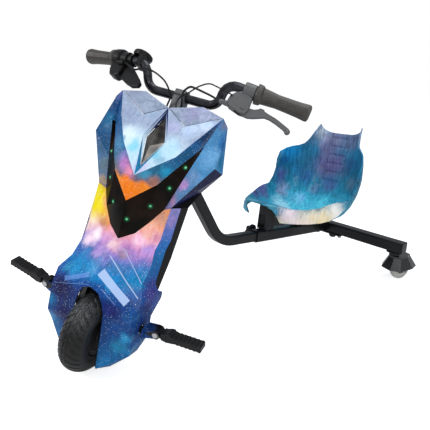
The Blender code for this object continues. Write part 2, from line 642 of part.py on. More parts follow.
def skin_panel(name, facets, mat, joint=JOINT / 2, points=None, walls=None):
    """Closed panel: outer facets, the same facets one wall inside, and a rim.
    Its border is drawn in by half a joint so that it never touches its neighbour."""
    points = points or skin
    walls = walls or inward
    border = {}
    edges = {}
    for facet in facets:
        for one, two in zip(facet, facet[1:] + facet[:1]):
            edges[(one, two)] = facet
    rim = [pair for pair in edges if (pair[1], pair[0]) not in edges]
    for one, two in rim:
        along = (points[two] - points[one]).normalized()
        wall = (walls[one] + walls[two]).normalized()
        into = wall.cross(along).normalized()
        middle = sum((points[k] for k in edges[(one, two)]), Vector()) / len(edges[(one, two)])
        if into.dot(middle - points[one]) < 0:
            into = -into
        border.setdefault(one, []).append(into)
        border.setdefault(two, []).append(into)
    moved = {}
    for facet in facets:
        for key in facet:
            shift = Vector()
            if key in border:
                first, last = border[key][0], border[key][-1]
                shift = (first + last) / max(0.35, 1.0 + first.dot(last)) * joint
            moved[key] = points[key] + shift
    bm = bmesh.new()
    outer = {key: bm.verts.new(p) for key, p in moved.items()}
    inner = {key: bm.verts.new(p + walls[key]) for key, p in moved.items()}
    for facet in facets:
        origin = facet[0]
        for one, two in zip(facet[1:], facet[2:]):
            bm.faces.new((outer[origin], outer[one], outer[two]))
            bm.faces.new((inner[two], inner[one], inner[origin]))
    for one, two in rim:
        # both neighbours split a shared wall along the same diagonal
        if one < two:
            bm.faces.new((outer[two], outer[one], inner[one]))
            bm.faces.new((outer[two], inner[one], inner[two]))
        else:
            bm.faces.new((outer[two], outer[one], inner[two]))
            bm.faces.new((outer[one], inner[one], inner[two]))
    return new_object(name, bm, mat, front_frame)


def both(part):
    return list(FACETS[part]) + [mirrored(f) for f in FACETS[part]]


skin_panel("cowl_mask", both("mask"), MASK_PAINT)
skin_panel("top_panel_left", list(FACETS["top"]), MASK_PAINT)
skin_panel("top_panel_right", [mirrored(f) for f in FACETS["top"]], MASK_PAINT)
light_band = skin_panel("light_band", both("band"), GLOSS_BLACK)
skin_panel("side_wing_left", list(FACETS["wing"]), WING_PAINT)
skin_panel("side_wing_right", [mirrored(f) for f in FACETS["wing"]], WING_PAINT)
cowl_lower = skin_panel("cowl_lower", both("lower"), BODY_PAINT)


# Light band: seven round lenses on a strip behind a smoked cover.

def between(one, two, share):
    return skin[one].lerp(skin[two], share)


strip_points = {}
strip_walls = {}
STRIP_DEPTH = 1.45
STRIP_THICK = 1.5
behind = inward
for mark in ("", "-"):
    for key, inner_key, outer_key in (("high", "mask_high", "band_high"), ("mid", "mask_mid", "band_mid"),
                                      ("low", "mask_low", "band_low"), ("foot", "mask_tip", "band_foot")):
        inner_key = inner_key if inner_key in MIDDLE_CORNERS else mark + inner_key
        outer_key = mark + outer_key
        for word, share in (("in_", 0.24), ("out_", 0.76)):
            wall = behind[inner_key].lerp(behind[outer_key], share)
            point = between(inner_key, outer_key, share)
            if key == "high":
                lower = between(mark + "mask_mid", mark + "band_mid", share)
                point = point.lerp(lower, 0.6)
            strip_points[mark + word + key] = point + wall * STRIP_DEPTH
            strip_walls[mark + word + key] = wall * STRIP_THICK
for word, share in (("in_mid_tip", 0.30), ("out_mid_tip", 0.66)):
    wall = behind["mask_tip"].lerp(behind["band_tip"], share)
    strip_points[word] = between("mask_tip", "band_tip", share) + wall * STRIP_DEPTH
    strip_walls[word] = wall * STRIP_THICK
strip_facets = [("in_high", "in_mid", "out_mid", "out_high"), ("in_mid", "in_low", "out_low", "out_mid"),
                ("in_low", "in_mid_tip", "out_foot", "out_low"), ("in_mid_tip", "out_mid_tip", "out_foot")]


def other_side(facet):
    return tuple(k if k.endswith("_tip") else "-" + k for k in facet[:1] + facet[:0:-1])


strip_facets += [other_side(f) for f in strip_facets]
led_strip = skin_panel("led_strip", strip_facets, GREEN, 0.0, strip_points, strip_walls)
# keeps the strip clear of the cover's back, which is not quite parallel near its upper ends
band_room = skin_panel("band_room", both("band"), GREEN, -0.0005, skin, {k: v * 1.12 for k, v in inward.items()})
cut(led_strip, band_room)

# The lamps are evenly spaced along the band, and the lowest is a little off the middle.
# Each lies on one facet, at these shares of its corners.
HIGH_FACET = ("mask_high", "mask_mid", "band_mid", "band_high")
MID_FACET = ("mask_mid", "mask_low", "band_low", "band_mid")
LOW_FACET = ("mask_low", "mask_tip", "band_foot", "band_low")
LIGHTS = [
    ("", HIGH_FACET, (0.14, 0.34, 0.34, 0.18)), ("-", HIGH_FACET, (0.04, 0.46, 0.44, 0.06)),
    ("", MID_FACET, (0.22, 0.22, 0.28, 0.28)), ("-", MID_FACET, (0.04, 0.46, 0.46, 0.04)),
    ("", LOW_FACET, (0.22, 0.21, 0.30, 0.27)), ("-", LOW_FACET, (0.04, 0.34, 0.58, 0.04)),
    ("", ("mask_tip", "band_tip", "band_foot"), (0.44, 0.39, 0.17)),
]
for mark, ring, shares in LIGHTS:
    keys = [k if k in MIDDLE_CORNERS else mark + k for k in ring]
    spot = sum((skin[k] * s for k, s in zip(keys, shares)), Vector())
    normal = facet_normal(keys)
    if normal.y > 0:
        normal = -normal
    basis = Matrix.Translation(spot) @ turned_to(normal)
    cut(light_band, rod("lens_hole", LED_RADIUS + GAP, -0.012, 0.012, GLOSS_BLACK, front_frame, basis, 16))
    lens = turned("lens", [(0.0, -COWL_WALL - 0.0055), (LED_RADIUS, -COWL_WALL - 0.0055), (LED_RADIUS, 0.0002),
                           (LED_RADIUS * 0.7, 0.0012), (0.0, 0.0016)], GREEN, front_frame, basis, 16, closed=False)
    join(led_strip, lens)


# Emblem: a faceted lozenge that fills the bottom of the mask's recess.

well = [skin["well_top"], skin["well_side"], skin["well_foot"], skin["-well_side"]]
well_centre = sum(well, Vector()) / 4
emblem_out = -sum((inward[k] for k in ("well_top", "well_side", "well_foot", "-well_side")), Vector()).normalized()
ring = [well_centre + (p - well_centre) * (1.0 - 0.0009 / (p - well_centre).length) for p in well]
bm = bmesh.new()
back = [bm.verts.new(p - emblem_out * 0.0042) for p in ring]
front = [bm.verts.new(p - emblem_out * 0.0005) for p in ring]
ridge_high = bm.verts.new(ring[0].lerp(ring[2], 0.20) + emblem_out * 0.0030)
ridge_low = bm.verts.new(ring[0].lerp(ring[2], 0.62) + emblem_out * 0.0045)
bm.faces.new(back)
for i in range(4):
    j = (i + 1) % 4
    bm.faces.new((back[i], back[j], front[j]))
    bm.faces.new((back[i], front[j], front[i]))
bm.faces.new((front[0], front[1], ridge_high))
bm.faces.new((front[1], ridge_low, ridge_high))
bm.faces.new((front[1], front[2], ridge_low))
bm.faces.new((front[2], front[3], ridge_low))
bm.faces.new((front[3], ridge_high, ridge_low))
bm.faces.new((front[3], front[0], ridge_high))
new_object("emblem_inlay", bm, EMBLEM, front_frame)


# Black rear cover: closes the lower cowl behind the steerer, whose axis its back follows.

COVER_BACK = 0.037


def behind_axis(side, up, back=COVER_BACK):
    y = AXIS_FOOT.y + (up - TYRE_RADIUS) * math.tan(RAKE) + back / math.cos(RAKE)
    return Vector((side * WIDEN, y, up))


cover_points = dict(skin)
cover_walls = dict(inward)
cover_rows = (("high", 0.095, 0.372), ("mid", 0.097, 0.277), ("low", 0.097, 0.212))
for word, side, up in cover_rows:
    cover_points["cover_" + word] = behind_axis(side, up)
    cover_points["-cover_" + word] = behind_axis(-side, up)
cover_facets = [("edge_high", "edge_mid", "cover_mid", "cover_high"), ("edge_mid", "edge_low", "cover_low", "cover_mid")]
cover_facets += [tuple("-" + k for k in f[:1] + f[:0:-1]) for f in cover_facets]
cover_facets += [("cover_high", "cover_mid", "-cover_mid", "-cover_high"),
                 ("cover_mid", "cover_low", "-cover_low", "-cover_mid")]
for key, step in wall_directions(cover_facets, COWL_WALL, cover_points).items():
    if key not in inward:
        cover_walls[key] = step
skin_panel("cowl_rear_cover", cover_facets, BLACK_PLASTIC, JOINT / 2, cover_points, cover_walls)

# Wheel well: a black tunnel behind the arch that hides the inside of the cowl. It runs
# back outside the fork, with a window round each end of the axle.
WELL_WALL = 0.0018
WELL_BACK = 0.045
WELL_HALF = leg_outer + 0.0145
well_points = {}
for key, half_wide, up in (("arch_foot", WELL_HALF, 0.040), ("arch_mid", WELL_HALF, 0.138),
                           ("arch_high", WELL_HALF, 0.186), ("arch_bend", WELL_HALF - 0.004, 0.224),
                           ("arch_shoulder", 0.034, 0.241)):
    for mark in ("", "-"):
        well_points[mark + key] = skin[mark + key] + inward[mark + key] * 1.15
        well_points[mark + key + "_back"] = Vector((-half_wide if mark else half_wide, WELL_BACK, up))
well_points["arch_top"] = skin["arch_top"] + inward["arch_top"] * 1.15
well_points["arch_top_back"] = Vector((0.0, WELL_BACK, 0.241))
well_line = ["arch_foot", "arch_mid", "arch_high", "arch_bend", "arch_shoulder", "arch_top",
             "-arch_shoulder", "-arch_bend", "-arch_high", "-arch_mid", "-arch_foot"]
well_facets = [(two, one, one + "_back", two + "_back") for one, two in zip(well_line, well_line[1:])]
well_walls = wall_directions(well_facets, WELL_WALL, well_points)
wheel_well = skin_panel("wheel_well", well_facets, BLACK_PLASTIC, 0.0, well_points, well_walls)
cut(wheel_well, rod("axle_window", 0.0220, -WELL_HALF - 0.02, WELL_HALF + 0.02, BLACK_PLASTIC, front_frame,
                    at(0, 0, TYRE_RADIUS) @ ALONG_X, 20))

# Bracket that clamps on the steerer and carries the rear cover and the battery.
bracket = box("cowl_bracket", (-0.040, -0.0175, 0.262), (0.040, COVER_BACK - COWL_WALL - 0.0006, 0.278),
              BLACK_STEEL, steer_frame, None, 0.0015, 1)
cut(bracket, rod("bracket_bore", STEERER_RADIUS + GAP, 0.2, 0.32, BLACK_STEEL, steer_frame, None, 24))
box("battery_pack", (-0.052, -0.0400, 0.240), (0.052, -0.0178, 0.325), BLACK_PLASTIC, steer_frame, None, 0.003, 2)


# Foot pegs: a cross bar through the fender carries a clevis, and the peg folds on its pin.

PEG_BAR_UP = 0.143
PEG_BAR_BACK = 0.020
FLANK = skin["flank_mid"].x
PEG_PIN = Vector((FLANK + 0.034, PEG_BAR_BACK + 0.004, PEG_BAR_UP + 0.010))
PEG_DROP = math.radians(-8)
for side, word in ((1, "left"), (-1, "right")):
    across = at(0, PEG_BAR_BACK, PEG_BAR_UP) @ Matrix.Rotation(side * math.pi / 2, 4, "Y")
    peg_bar = turned("peg_bracket_" + word,
                     [(0.0, leg_outer + GAP), (0.009, leg_outer + GAP), (0.009, FLANK + 0.008), (0.0, FLANK + 0.008)],
                     BLACK_STEEL, front_frame, across, 20, closed=False)
    washer = turned("peg_flange", [(0.0, FLANK + 0.0025), (0.0185, FLANK + 0.0025), (0.0185, FLANK + 0.0075),
                                   (0.0, FLANK + 0.0075)], BLACK_STEEL, front_frame, across, 6, closed=False)
    join(peg_bar, washer)
    for ear in (-1, 1):
        y = PEG_PIN.y + ear * 0.0115
        outline = [(FLANK + 0.005, PEG_BAR_UP - 0.012), (FLANK + 0.005, PEG_BAR_UP + 0.014)]
        for k in range(9):
            a = math.radians(100 - 25 * k)
            outline.append((PEG_PIN.x + 0.0105 * math.cos(a), PEG_PIN.z + 0.0105 * math.sin(a)))
        outline = [(side * p, q) for p, q in outline]
        ear_basis = at(0, y, 0) @ Matrix.Rotation(math.pi / 2, 4, "X")
        join(peg_bar, plate("peg_ear", outline, -0.0018, 0.0018, BLACK_STEEL, front_frame, ear_basis))
    pin_basis = at(side * PEG_PIN.x, PEG_PIN.y, PEG_PIN.z) @ Matrix.Rotation(math.pi / 2, 4, "X")
    join(peg_bar, turned("peg_pin", [(0.0, -0.0155), (0.0065, -0.0150), (0.0065, -0.0128), (0.0042, -0.0128),
                                     (0.0042, 0.0128), (0.0065, 0.0128), (0.0065, 0.0150), (0.0, 0.0155)],
                         ZINC, front_frame, pin_basis, 16, closed=False))
    cut(cowl_lower, rod("peg_hole", 0.0105, FLANK - 0.030, FLANK + 0.030, BODY_PAINT, front_frame, across, 20))
    cut(wheel_well, rod("peg_way", 0.0110, leg_outer - 0.006, FLANK - 0.030, BLACK_PLASTIC, front_frame, across, 20))

    # peg: X runs out along it, Y is its pin, Z up
    peg_frame = frame("peg_frame_" + word, at(side * PEG_PIN.x, PEG_PIN.y, PEG_PIN.z)
                      @ Matrix.Rotation(0 if side > 0 else math.pi, 4, "Z")
                      @ Matrix.Rotation(PEG_DROP, 4, "Y"), front_frame)
    outline = [(-0.007, -0.006), (0.020, -0.009), (0.026, -PEG_THICK / 2 - 0.002), (0.040, -PEG_THICK / 2)]
    ribs = 6
    pitch = (PEG_LENGTH - 0.046) / ribs
    for k in range(ribs):
        x = 0.044 + k * pitch
        outline += [(x, -PEG_THICK / 2), (x + pitch * 0.3, -PEG_THICK / 2 + 0.0016),
                    (x + pitch * 0.7, -PEG_THICK / 2 + 0.0016)]
    outline += [(PEG_LENGTH, -PEG_THICK / 2), (PEG_LENGTH + 0.003, -PEG_THICK / 2 + 0.003),
                (PEG_LENGTH + 0.003, PEG_THICK / 2 - 0.003), (PEG_LENGTH, PEG_THICK / 2)]
    for k in range(ribs - 1, -1, -1):
        x = 0.044 + k * pitch
        outline += [(x + pitch * 0.7, PEG_THICK / 2 - 0.0016), (x + pitch * 0.3, PEG_THICK / 2 - 0.0016),
                    (x, PEG_THICK / 2)]
    outline += [(0.040, PEG_THICK / 2), (0.038, PEG_THICK / 2 + 0.004), (0.032, PEG_THICK / 2 + 0.004),
                (0.020, 0.008), (0.004, 0.0078), (-0.004, 0.0072), (-0.0076, 0.002)]
    outline = [(p, q) for p, q in outline]
    peg = plate("peg_" + word, outline, -PEG_WIDTH / 2, PEG_WIDTH / 2, BLACK_PLASTIC, peg_frame,
                Matrix.Rotation(math.pi / 2, 4, "X"), 0.001)
    for ear in (-1, 1):
        low, high = sorted((ear * 0.0088, ear * 0.0180))
        cut(peg, box("ear_room", (-0.02, low, -0.02), (0.0145, high, 0.02), BLACK_PLASTIC, peg_frame))
    cut(peg, rod("peg_bore", 0.0042 + GAP, -0.03, 0.03, BLACK_PLASTIC, peg_frame,
                 Matrix.Rotation(math.pi / 2, 4, "X"), 16))


# Stem and handlebar.

BAR_AT = (0.0091, 0.5715)
stem_low = head_high + 0.0105
stem = box("stem", (-0.0145, -0.010, steerer_top - 0.016), (0.0145, 0.025, BAR_AT[1] - GAP),
           CAST, steer_frame, None, 0.002, 1)
join(stem, turned("stem_collar", [(0.010, stem_low), (0.0160, stem_low), (0.0160, steerer_top - 0.010),
                                  (0.010, steerer_top - 0.010)], CAST, steer_frame, None, 28))
cut(stem, rod("steerer_socket", STEERER_RADIUS + GAP, stem_low - 0.01, steerer_top + GAP, CAST, steer_frame, None, 28))
cap = box("stem_cap", (-0.0145, BAR_AT[0] - 0.0185, BAR_AT[1] + GAP), (0.0145, BAR_AT[0] + 0.0185, BAR_AT[1] + 0.0145),
          CAST, steer_frame, None, 0.003, 2)
for piece in (stem, cap):
    cut(piece, rod("bar_seat", BAR_RADIUS + GAP, -0.05, 0.05, CAST, steer_frame,
                   at(0, BAR_AT[0], BAR_AT[1]) @ ALONG_X, 28))
for side in (-1, 1):
    join(cap, rod("stem_screw", 0.0030, BAR_AT[1] + 0.0135, BAR_AT[1] + 0.0180, CAST, steer_frame,
                  at(side * 0.0085, BAR_AT[0] + 0.0125, 0), 12))

bar_centre = AXIS_FOOT + AXIS_BACK * BAR_AT[0] + AXIS_UP * BAR_AT[1]
grip_in = Vector((0.189, 0.0190, 0.0465)) + bar_centre
grip_out = Vector((0.290, 0.0377, 0.0325)) + bar_centre
grip_way = (grip_out - grip_in).normalized()
# the grip line runs inboard to a corner above the riser
rise_top = grip_in - grip_way * ((grip_in.x - BAR_HALF - 0.010) / grip_way.x)


def mirror_x(v):
    return Vector((-v.x, v.y, v.z))


half_bar = [bar_centre + Vector((0.0, 0, 0)), bar_centre + Vector((BAR_HALF, 0, 0)), rise_top, grip_out]
half_path = bent(half_bar, 0.030, 5)
bar_path = [mirror_x(p) for p in half_path[:0:-1]] + half_path
swept("handlebar", bar_path, round_section(BAR_RADIUS, 12), (0, 1, 0), SATIN_BAR, front_frame,
      round_section(BAR_RADIUS - 0.002, 12))


def bar_room(name, clearance=GAP):
    return swept(name, bar_path, round_section(BAR_RADIUS + clearance, 12), (0, 1, 0), SATIN_BAR, front_frame)



def bar_basis(side, along):
    """Z runs outboard along the grip line, Y points away from the rider and down."""
    origin = grip_in + grip_way * along
    way = Vector(grip_way)
    if side < 0:
        origin = mirror_x(origin)
        way = mirror_x(way)
    reach_way = Vector((0, -0.67, -0.74))
    y = (reach_way - way * reach_way.dot(way)).normalized()
    x = y.cross(way)
    return Matrix.Translation(origin) @ Matrix((x, y, way)).transposed().to_4x4()


grip_length = (grip_out - grip_in).length
for side, word in ((1, "left"), (-1, "right")):
    b = BAR_RADIUS + GAP
    start = -0.0155 if side > 0 else 0.0110
    profile = [(0.0, start), (0.0225, start), (0.0235, start + 0.002), (0.0225, start + 0.012),
               (GRIP_RADIUS + 0.0016, start + 0.016), (GRIP_RADIUS - 0.0012, 0.034),
               (GRIP_RADIUS - 0.0007, 0.055), (GRIP_RADIUS + 0.0003, 0.085),
               (GRIP_RADIUS + 0.0022, grip_length + 0.002), (GRIP_RADIUS + 0.0014, grip_length + 0.0065),
               (GRIP_RADIUS - 0.0035, grip_length + 0.009), (0.0, grip_length + 0.0095)]
    grip = turned("grip_" + word, profile, RUBBER, front_frame, bar_basis(side, 0.0), 20, closed=False)
    cut(grip, rod("grip_bore", b, start - 0.01, grip_length + 0.0006, RUBBER, front_frame, bar_basis(side, 0.0), 16))


# Left control: cast brake perch with its lever.

perch_basis = bar_basis(1, 0.0)
# outlines below run in the plane of reach (X) and bar (Y), with their thickness along Z
to_reach = Matrix(((0, 0, 1, 0), (1, 0, 0, 0), (0, 1, 0, 0), (0, 0, 0, 1)))
to_lever = perch_basis @ to_reach
perch = turned("brake_perch", [(0.0, -0.044), (0.0165, -0.044), (0.0180, -0.042), (0.0180, -0.0185),
                               (0.0165, -0.0165), (0.0, -0.0165)], CAST, front_frame, perch_basis, 28, closed=False)
body_outline = [(0.008, -0.0430), (0.018, -0.058), (0.030, -0.067), (0.046, -0.069), (0.055, -0.060),
                (0.0620, -0.034), (0.0615, -0.022), (0.050, -0.017), (0.034, -0.017), (0.018, -0.0175)]
join(perch, plate("perch_body", body_outline, -0.0090, 0.0090, CAST, front_frame, to_lever, 0.002, 2))
barrel_at = to_lever @ at(0.048, -0.067, 0) @ Matrix.Rotation(math.pi / 2, 4, "X")
join(perch, turned("cable_barrel", [(0.0, -0.004), (0.0062, -0.004), (0.0062, 0.006), (0.0052, 0.007),
                                    (0.0052, 0.017), (0.0040, 0.019), (0.0, 0.019)], CAST, front_frame, barrel_at,
                   16, closed=False))
PIVOT = (0.048, -0.030)
join(perch, rod("lever_bolt", 0.0050, -0.0105, 0.0105, ZINC, front_frame,
                to_lever @ at(PIVOT[0], PIVOT[1], 0), 14))
cut(perch, bar_room("perch_room"))
cut(perch, plate("lever_slot", [(0.032, -0.010), (0.075, -0.010), (0.075, -0.047), (0.038, -0.047)],
                 -0.0048, 0.0048, CAST, front_frame, to_lever))
join(perch, rod("lever_pin", 0.0030, -0.0060, 0.0060, ZINC, front_frame,
                to_lever @ at(PIVOT[0], PIVOT[1], 0), 14))
cut(perch, rod("cable_bore", 0.0028, 0.004, 0.03, CAST, front_frame, barrel_at, 12))
lever_frame = frame("lever_frame", to_lever @ at(PIVOT[0], PIVOT[1], 0), front_frame)
# the lever's outline is drawn from its pivot
blade = [(-0.0070, -0.0060), (0.0, -0.0095), (0.0080, -0.0060), (0.0155, 0.0060), (0.0165, 0.0170),
         (0.0120, 0.0300), (0.0010, 0.0520), (0.0010, 0.0640), (0.0050, 0.0800), (0.0110, 0.0980),
         (0.0165, 0.1080), (0.0160, 0.1150), (0.0095, 0.1160), (0.0050, 0.1100), (-0.0015, 0.0920),
         (-0.0070, 0.0760), (-0.0100, 0.0600), (-0.0130, 0.0480), (-0.0165, 0.0455), (-0.0170, 0.0365),
         (-0.0130, 0.0330), (-0.0080, 0.0240), (-0.0070, 0.0100)]
lever = plate("brake_lever", blade, -0.0042, 0.0042, CAST, lever_frame, None, 0.0012, 1)
ball = [(0.0070 * math.cos(math.radians(a)), 0.0070 * math.sin(math.radians(a))) for a in range(-60, 61, 30)]
join(lever, turned("lever_ball", [(0.0, -0.0070)] + ball + [(0.0, 0.0070)], CAST, lever_frame,
                   at(0.0128, 0.1100, 0), 14, closed=False))
cut(lever, rod("lever_bore", 0.0030 + GAP, -0.02, 0.02, CAST, lever_frame, None, 14))


# Right control: throttle clamp with the display pod above it and a sprung thumb lever.

body_basis = bar_basis(-1, 0.0)
to_thumb = body_basis @ to_reach
throttle = turned("throttle_housing", [(0.0, -0.0320), (0.0180, -0.0320), (0.0190, -0.030), (0.0190, -0.012),
                                       (0.0235, -0.010), (0.0245, -0.007), (0.0245, 0.007), (0.0235, 0.0095),
                                       (0.0, 0.0095)], BLACK_PLASTIC, front_frame, body_basis, 28, closed=False)
block_outline = [(0.012, -0.0310), (0.036, -0.0310), (0.050, -0.028), (0.056, -0.018), (0.052, 0.000),
                 (0.036, 0.0085), (0.012, 0.0090)]
join(throttle, plate("throttle_block", block_outline, -0.0125, 0.0125, BLACK_PLASTIC, front_frame, to_thumb, 0.003, 2))
join(throttle, rod("cable_lug", 0.0048, -0.0325, -0.0140, BLACK_PLASTIC, front_frame,
                   body_basis @ at(-0.0160, 0.0200, 0), 14))
cut(throttle, rod("lug_bore", 0.0026, -0.0500, -0.0220, BLACK_PLASTIC, front_frame,
                  body_basis @ at(-0.0160, 0.0200, 0), 12))
cut(throttle, rod("throttle_bar_bore", BAR_RADIUS + GAP, -0.06, 0.03, BLACK_PLASTIC, front_frame, body_basis, 28))

thumb_frame = frame("thumb_frame", bar_basis(-1, 0.0), front_frame)
thumb = turned("thumb_lever", [(BAR_RADIUS + RUNNING, -0.0450), (0.0145, -0.0450), (0.0150, -0.0440),
                               (0.0150, -0.0330), (BAR_RADIUS + RUNNING, -0.0330)],
               BLACK_PLASTIC, thumb_frame, None, 28)
paddle_outline = [(0.013, -0.0335), (0.040, -0.0335), (0.056, -0.036), (0.068, -0.060), (0.075, -0.082),
                  (0.072, -0.102), (0.062, -0.104), (0.050, -0.092), (0.034, -0.072), (0.022, -0.056),
                  (0.013, -0.0450)]
join(thumb, plate("thumb_paddle", paddle_outline, -0.0050, 0.0050, BLACK_PLASTIC, thumb_frame, to_reach, 0.002, 2))
cut(thumb, rod("thumb_bore", BAR_RADIUS + RUNNING, -0.06, 0.03, BLACK_PLASTIC, thumb_frame, None, 28))
cut(thumb, bar_room("thumb_room", 0.0015))

pod_basis = Matrix.Translation((-0.137, bar_centre.y + 0.0320, bar_centre.z + 0.0622))
pod_basis = pod_basis @ Matrix.Rotation(math.radians(-38), 4, "X")
pod = turned("display_pod", [(0.0, -0.0065), (0.016, -0.0065), (0.0225, -0.004), (0.0250, 0.002), (0.0242, 0.0070),
                             (0.0222, 0.0085), (0.0, 0.0085)], BLACK_PLASTIC, front_frame, pod_basis, 32,
             closed=False)
join(pod, box("pod_foot", (0.006, -0.0275, -0.0355), (0.021, 0.0035, -0.0040), BLACK_PLASTIC, front_frame,
              pod_basis, 0.002, 1))
cut(pod, bar_room("pod_room"))
cut(pod, rod("housing_room", 0.0198, -0.0330, 0.0200, BLACK_PLASTIC, front_frame, body_basis, 28),
    rod("ring_room", 0.0160, -0.0465, -0.0320, BLACK_PLASTIC, front_frame, body_basis, 28))
turned("display_glass", [(0.0, 0.0085 + GAP), (0.0190, 0.0085 + GAP), (0.0180, 0.0102), (0.0, 0.0106)], DISPLAY,
       front_frame, pod_basis, 32, closed=False)


# Cables: brake housing, brake switch wire and throttle lead meet in front of the stem,
# drop behind the cowl's apex and run down beside the head tube to the battery pack.

def smooth_path(points, steps=3):
    points = [Vector(p) for p in points]
    ends = [points[0] * 2 - points[1]] + points + [points[-1] * 2 - points[-2]]
    path = []
    for p0, p1, p2, p3 in zip(ends, ends[1:], ends[2:], ends[3:]):
        for i in range(steps):
            f = i / steps
            path.append(0.5 * (2 * p1 + (p2 - p0) * f + (2 * p0 - 5 * p1 + 4 * p2 - p3) * f ** 2
                               + (3 * p1 - p0 - 3 * p2 + p3) * f ** 3))
    path.append(points[-1])
    return path


def by_axis(side, back, up):
    return AXIS_FOOT + Vector((side, 0, 0)) + AXIS_BACK * back + AXIS_UP * up


def near_bar(side, forward, up):
    return bar_centre + Vector((side, -forward, up))


def down_inside(top, side, back):
    """Lower part of each run, clear of the stem, the bearings and the head tube."""
    return [by_axis(top, back - 0.008, 0.545), by_axis((top + side) / 2, back, 0.520), by_axis(side, back, 0.490),
            by_axis(side, back, 0.400), by_axis(side, back - 0.005, 0.365), by_axis(side, -0.029, 0.340),
            by_axis(side, -0.029, 0.3255)]


brake_run = [barrel_at @ Vector((0, 0, z)) for z in (0.0090, 0.0190)]
brake_run += [near_bar(0.087, 0.034, 0.029), near_bar(0.066, 0.035, 0.033), near_bar(0.050, 0.036, 0.036),
              near_bar(0.037, 0.037, 0.037), near_bar(0.027, 0.038, 0.030), near_bar(0.0205, 0.040, 0.018)]
brake_run += down_inside(0.0205, 0.027, -0.010)
swept("brake_cable", smooth_path(brake_run), round_section(0.0024, 6), (0, 0, 1), BLACK_PLASTIC, front_frame)

wire_exit = to_lever @ at(0.030, -0.0630, 0.0095)
wire_run = [wire_exit @ Vector((0, 0, 0.0002)), wire_exit @ Vector((0, -0.003, 0.0030)),
            near_bar(0.093, 0.026, 0.050), near_bar(0.075, 0.030, 0.052), near_bar(0.052, 0.032, 0.040),
            near_bar(0.032, 0.030, 0.023), near_bar(0.0120, 0.032, 0.008)]
wire_run += down_inside(0.0095, 0.0205, -0.018)
swept("brake_switch_wire", smooth_path(wire_run), round_section(0.0017, 6), (0, 0, 1), BLACK_PLASTIC, front_frame)

throttle_run = [body_basis @ Vector((-0.0160, 0.0200, z)) for z in (-0.0240, -0.0330, -0.0400)]
throttle_run += [near_bar(-0.1130, 0.043, 0.043), near_bar(-0.0930, 0.047, 0.048), near_bar(-0.0730, 0.047, 0.052),
                 near_bar(-0.0560, 0.046, 0.050), near_bar(-0.0400, 0.043, 0.043), near_bar(-0.0280, 0.038, 0.033),
                 near_bar(-0.0175, 0.036, 0.018), near_bar(-0.0110, 0.037, 0.002)]
throttle_run += down_inside(-0.0148, -0.027, -0.010)
swept("throttle_cable", smooth_path(throttle_run), round_section(0.0022, 6), (0, 0, 1), BLACK_PLASTIC, front_frame)


# Seat: one moulded shell, lofted through rim and floor stations from front lip to horns.

# each row: crest x, y, z; floor y, z; and the rolled skirt's spread, set-back and drop
STATIONS = (
    (0.042, 0.566, 0.281, 0.556, 0.2915, 0.023, 0.027, 0.050), (0.090, 0.612, 0.275, 0.606, 0.280, 0.018, 0.000, 0.041),
    (0.128, 0.678, 0.272, 0.682, 0.236, 0.015, -0.003, 0.042), (0.147, 0.744, 0.281, 0.752, 0.203, 0.010, -0.006, 0.048),
    (0.157, 0.803, 0.284, 0.820, 0.186, 0.006, 0.0, 0.022), (0.163, 0.838, 0.332, 0.880, 0.194, 0.0, 0.0, 0.0),
    (0.163, 0.858, 0.384, 0.925, 0.236, 0.0, 0.0, 0.0), (0.142, 0.898, 0.402, 0.950, 0.292, 0.0, 0.0, 0.0),
    (0.119, 0.931, 0.408, 0.970, 0.346, 0.0, 0.0, 0.0), (0.098, 0.943, 0.428, 0.984, 0.392, 0.0, 0.0, 0.0),
    (0.088, 0.962, 0.456, 0.993, 0.426, 0.0, 0.0, 0.0), (0.080, 0.985, 0.482, 1.000, 0.452, 0.0, 0.0, 0.0),
)
SKIRT_SHARE = 3.0 / 11.0


def along_stations(t):
    """Smooth curve through the stations, t from 0 at the lip to 1 at the horns."""
    n = len(STATIONS) - 1
    s = min(t * n, n - 1e-6)
    k = int(s)
    f = s - k
    rows = [np.array(STATIONS[min(max(k + d, 0), n)]) for d in (-1, 0, 1, 2)]
    return 0.5 * (2 * rows[1] + (rows[2] - rows[0]) * f + (2 * rows[0] - 5 * rows[1] + 4 * rows[2] - rows[3]) * f ** 2
                  + (3 * rows[1] - rows[0] - 3 * rows[2] + rows[3]) * f ** 3)


def seat_point(u, t):
    rx, ry, rz, fy, fz, spread, back, drop = along_stations(t)
    roll = SKIRT_SHARE * min(max(drop / 0.030, 0.0), 1.0)
    inner = min(abs(u) / (1.0 - roll), 1.0)
    full = math.radians(84)
    a = inner * full
    x = rx * (math.sin(a) / math.sin(full)) ** 0.82
    rise = ((1.0 - math.cos(a)) / (1.0 - math.cos(full))) ** 1.25
    y = fy + (ry - fy) * rise
    z = fz + (rz - fz) * rise
    if abs(u) > 1.0 - roll:
        b = (abs(u) - 1.0 + roll) / roll * math.pi / 2
        x += spread * math.sin(b)
        y += back * (1.0 - math.cos(b))
        z -= drop * (1.0 - math.cos(b))
    side = 1.0 if u >= 0 else -1.0
    return Vector((side * x * SEAT_WIDTH / 0.330, y, z))


ACROSS = 22
ALONG = 20


def seat_normal(u, t):
    d = 0.004
    across = seat_point(min(u + d, 1), t) - seat_point(max(u - d, -1), t)
    along = seat_point(u, min(t + d, 1)) - seat_point(u, max(t - d, 0))
    return across.cross(along).normalized()


def seat_grid(shift):
    rows = []
    for i in range(ALONG + 1):
        t = i / ALONG
        row = []
        for j in range(ACROSS + 1):
            u = -1 + 2 * j / ACROSS
            row.append(seat_point(u, t) + seat_normal(u, t) * shift)
        rows.append(row)
    return rows


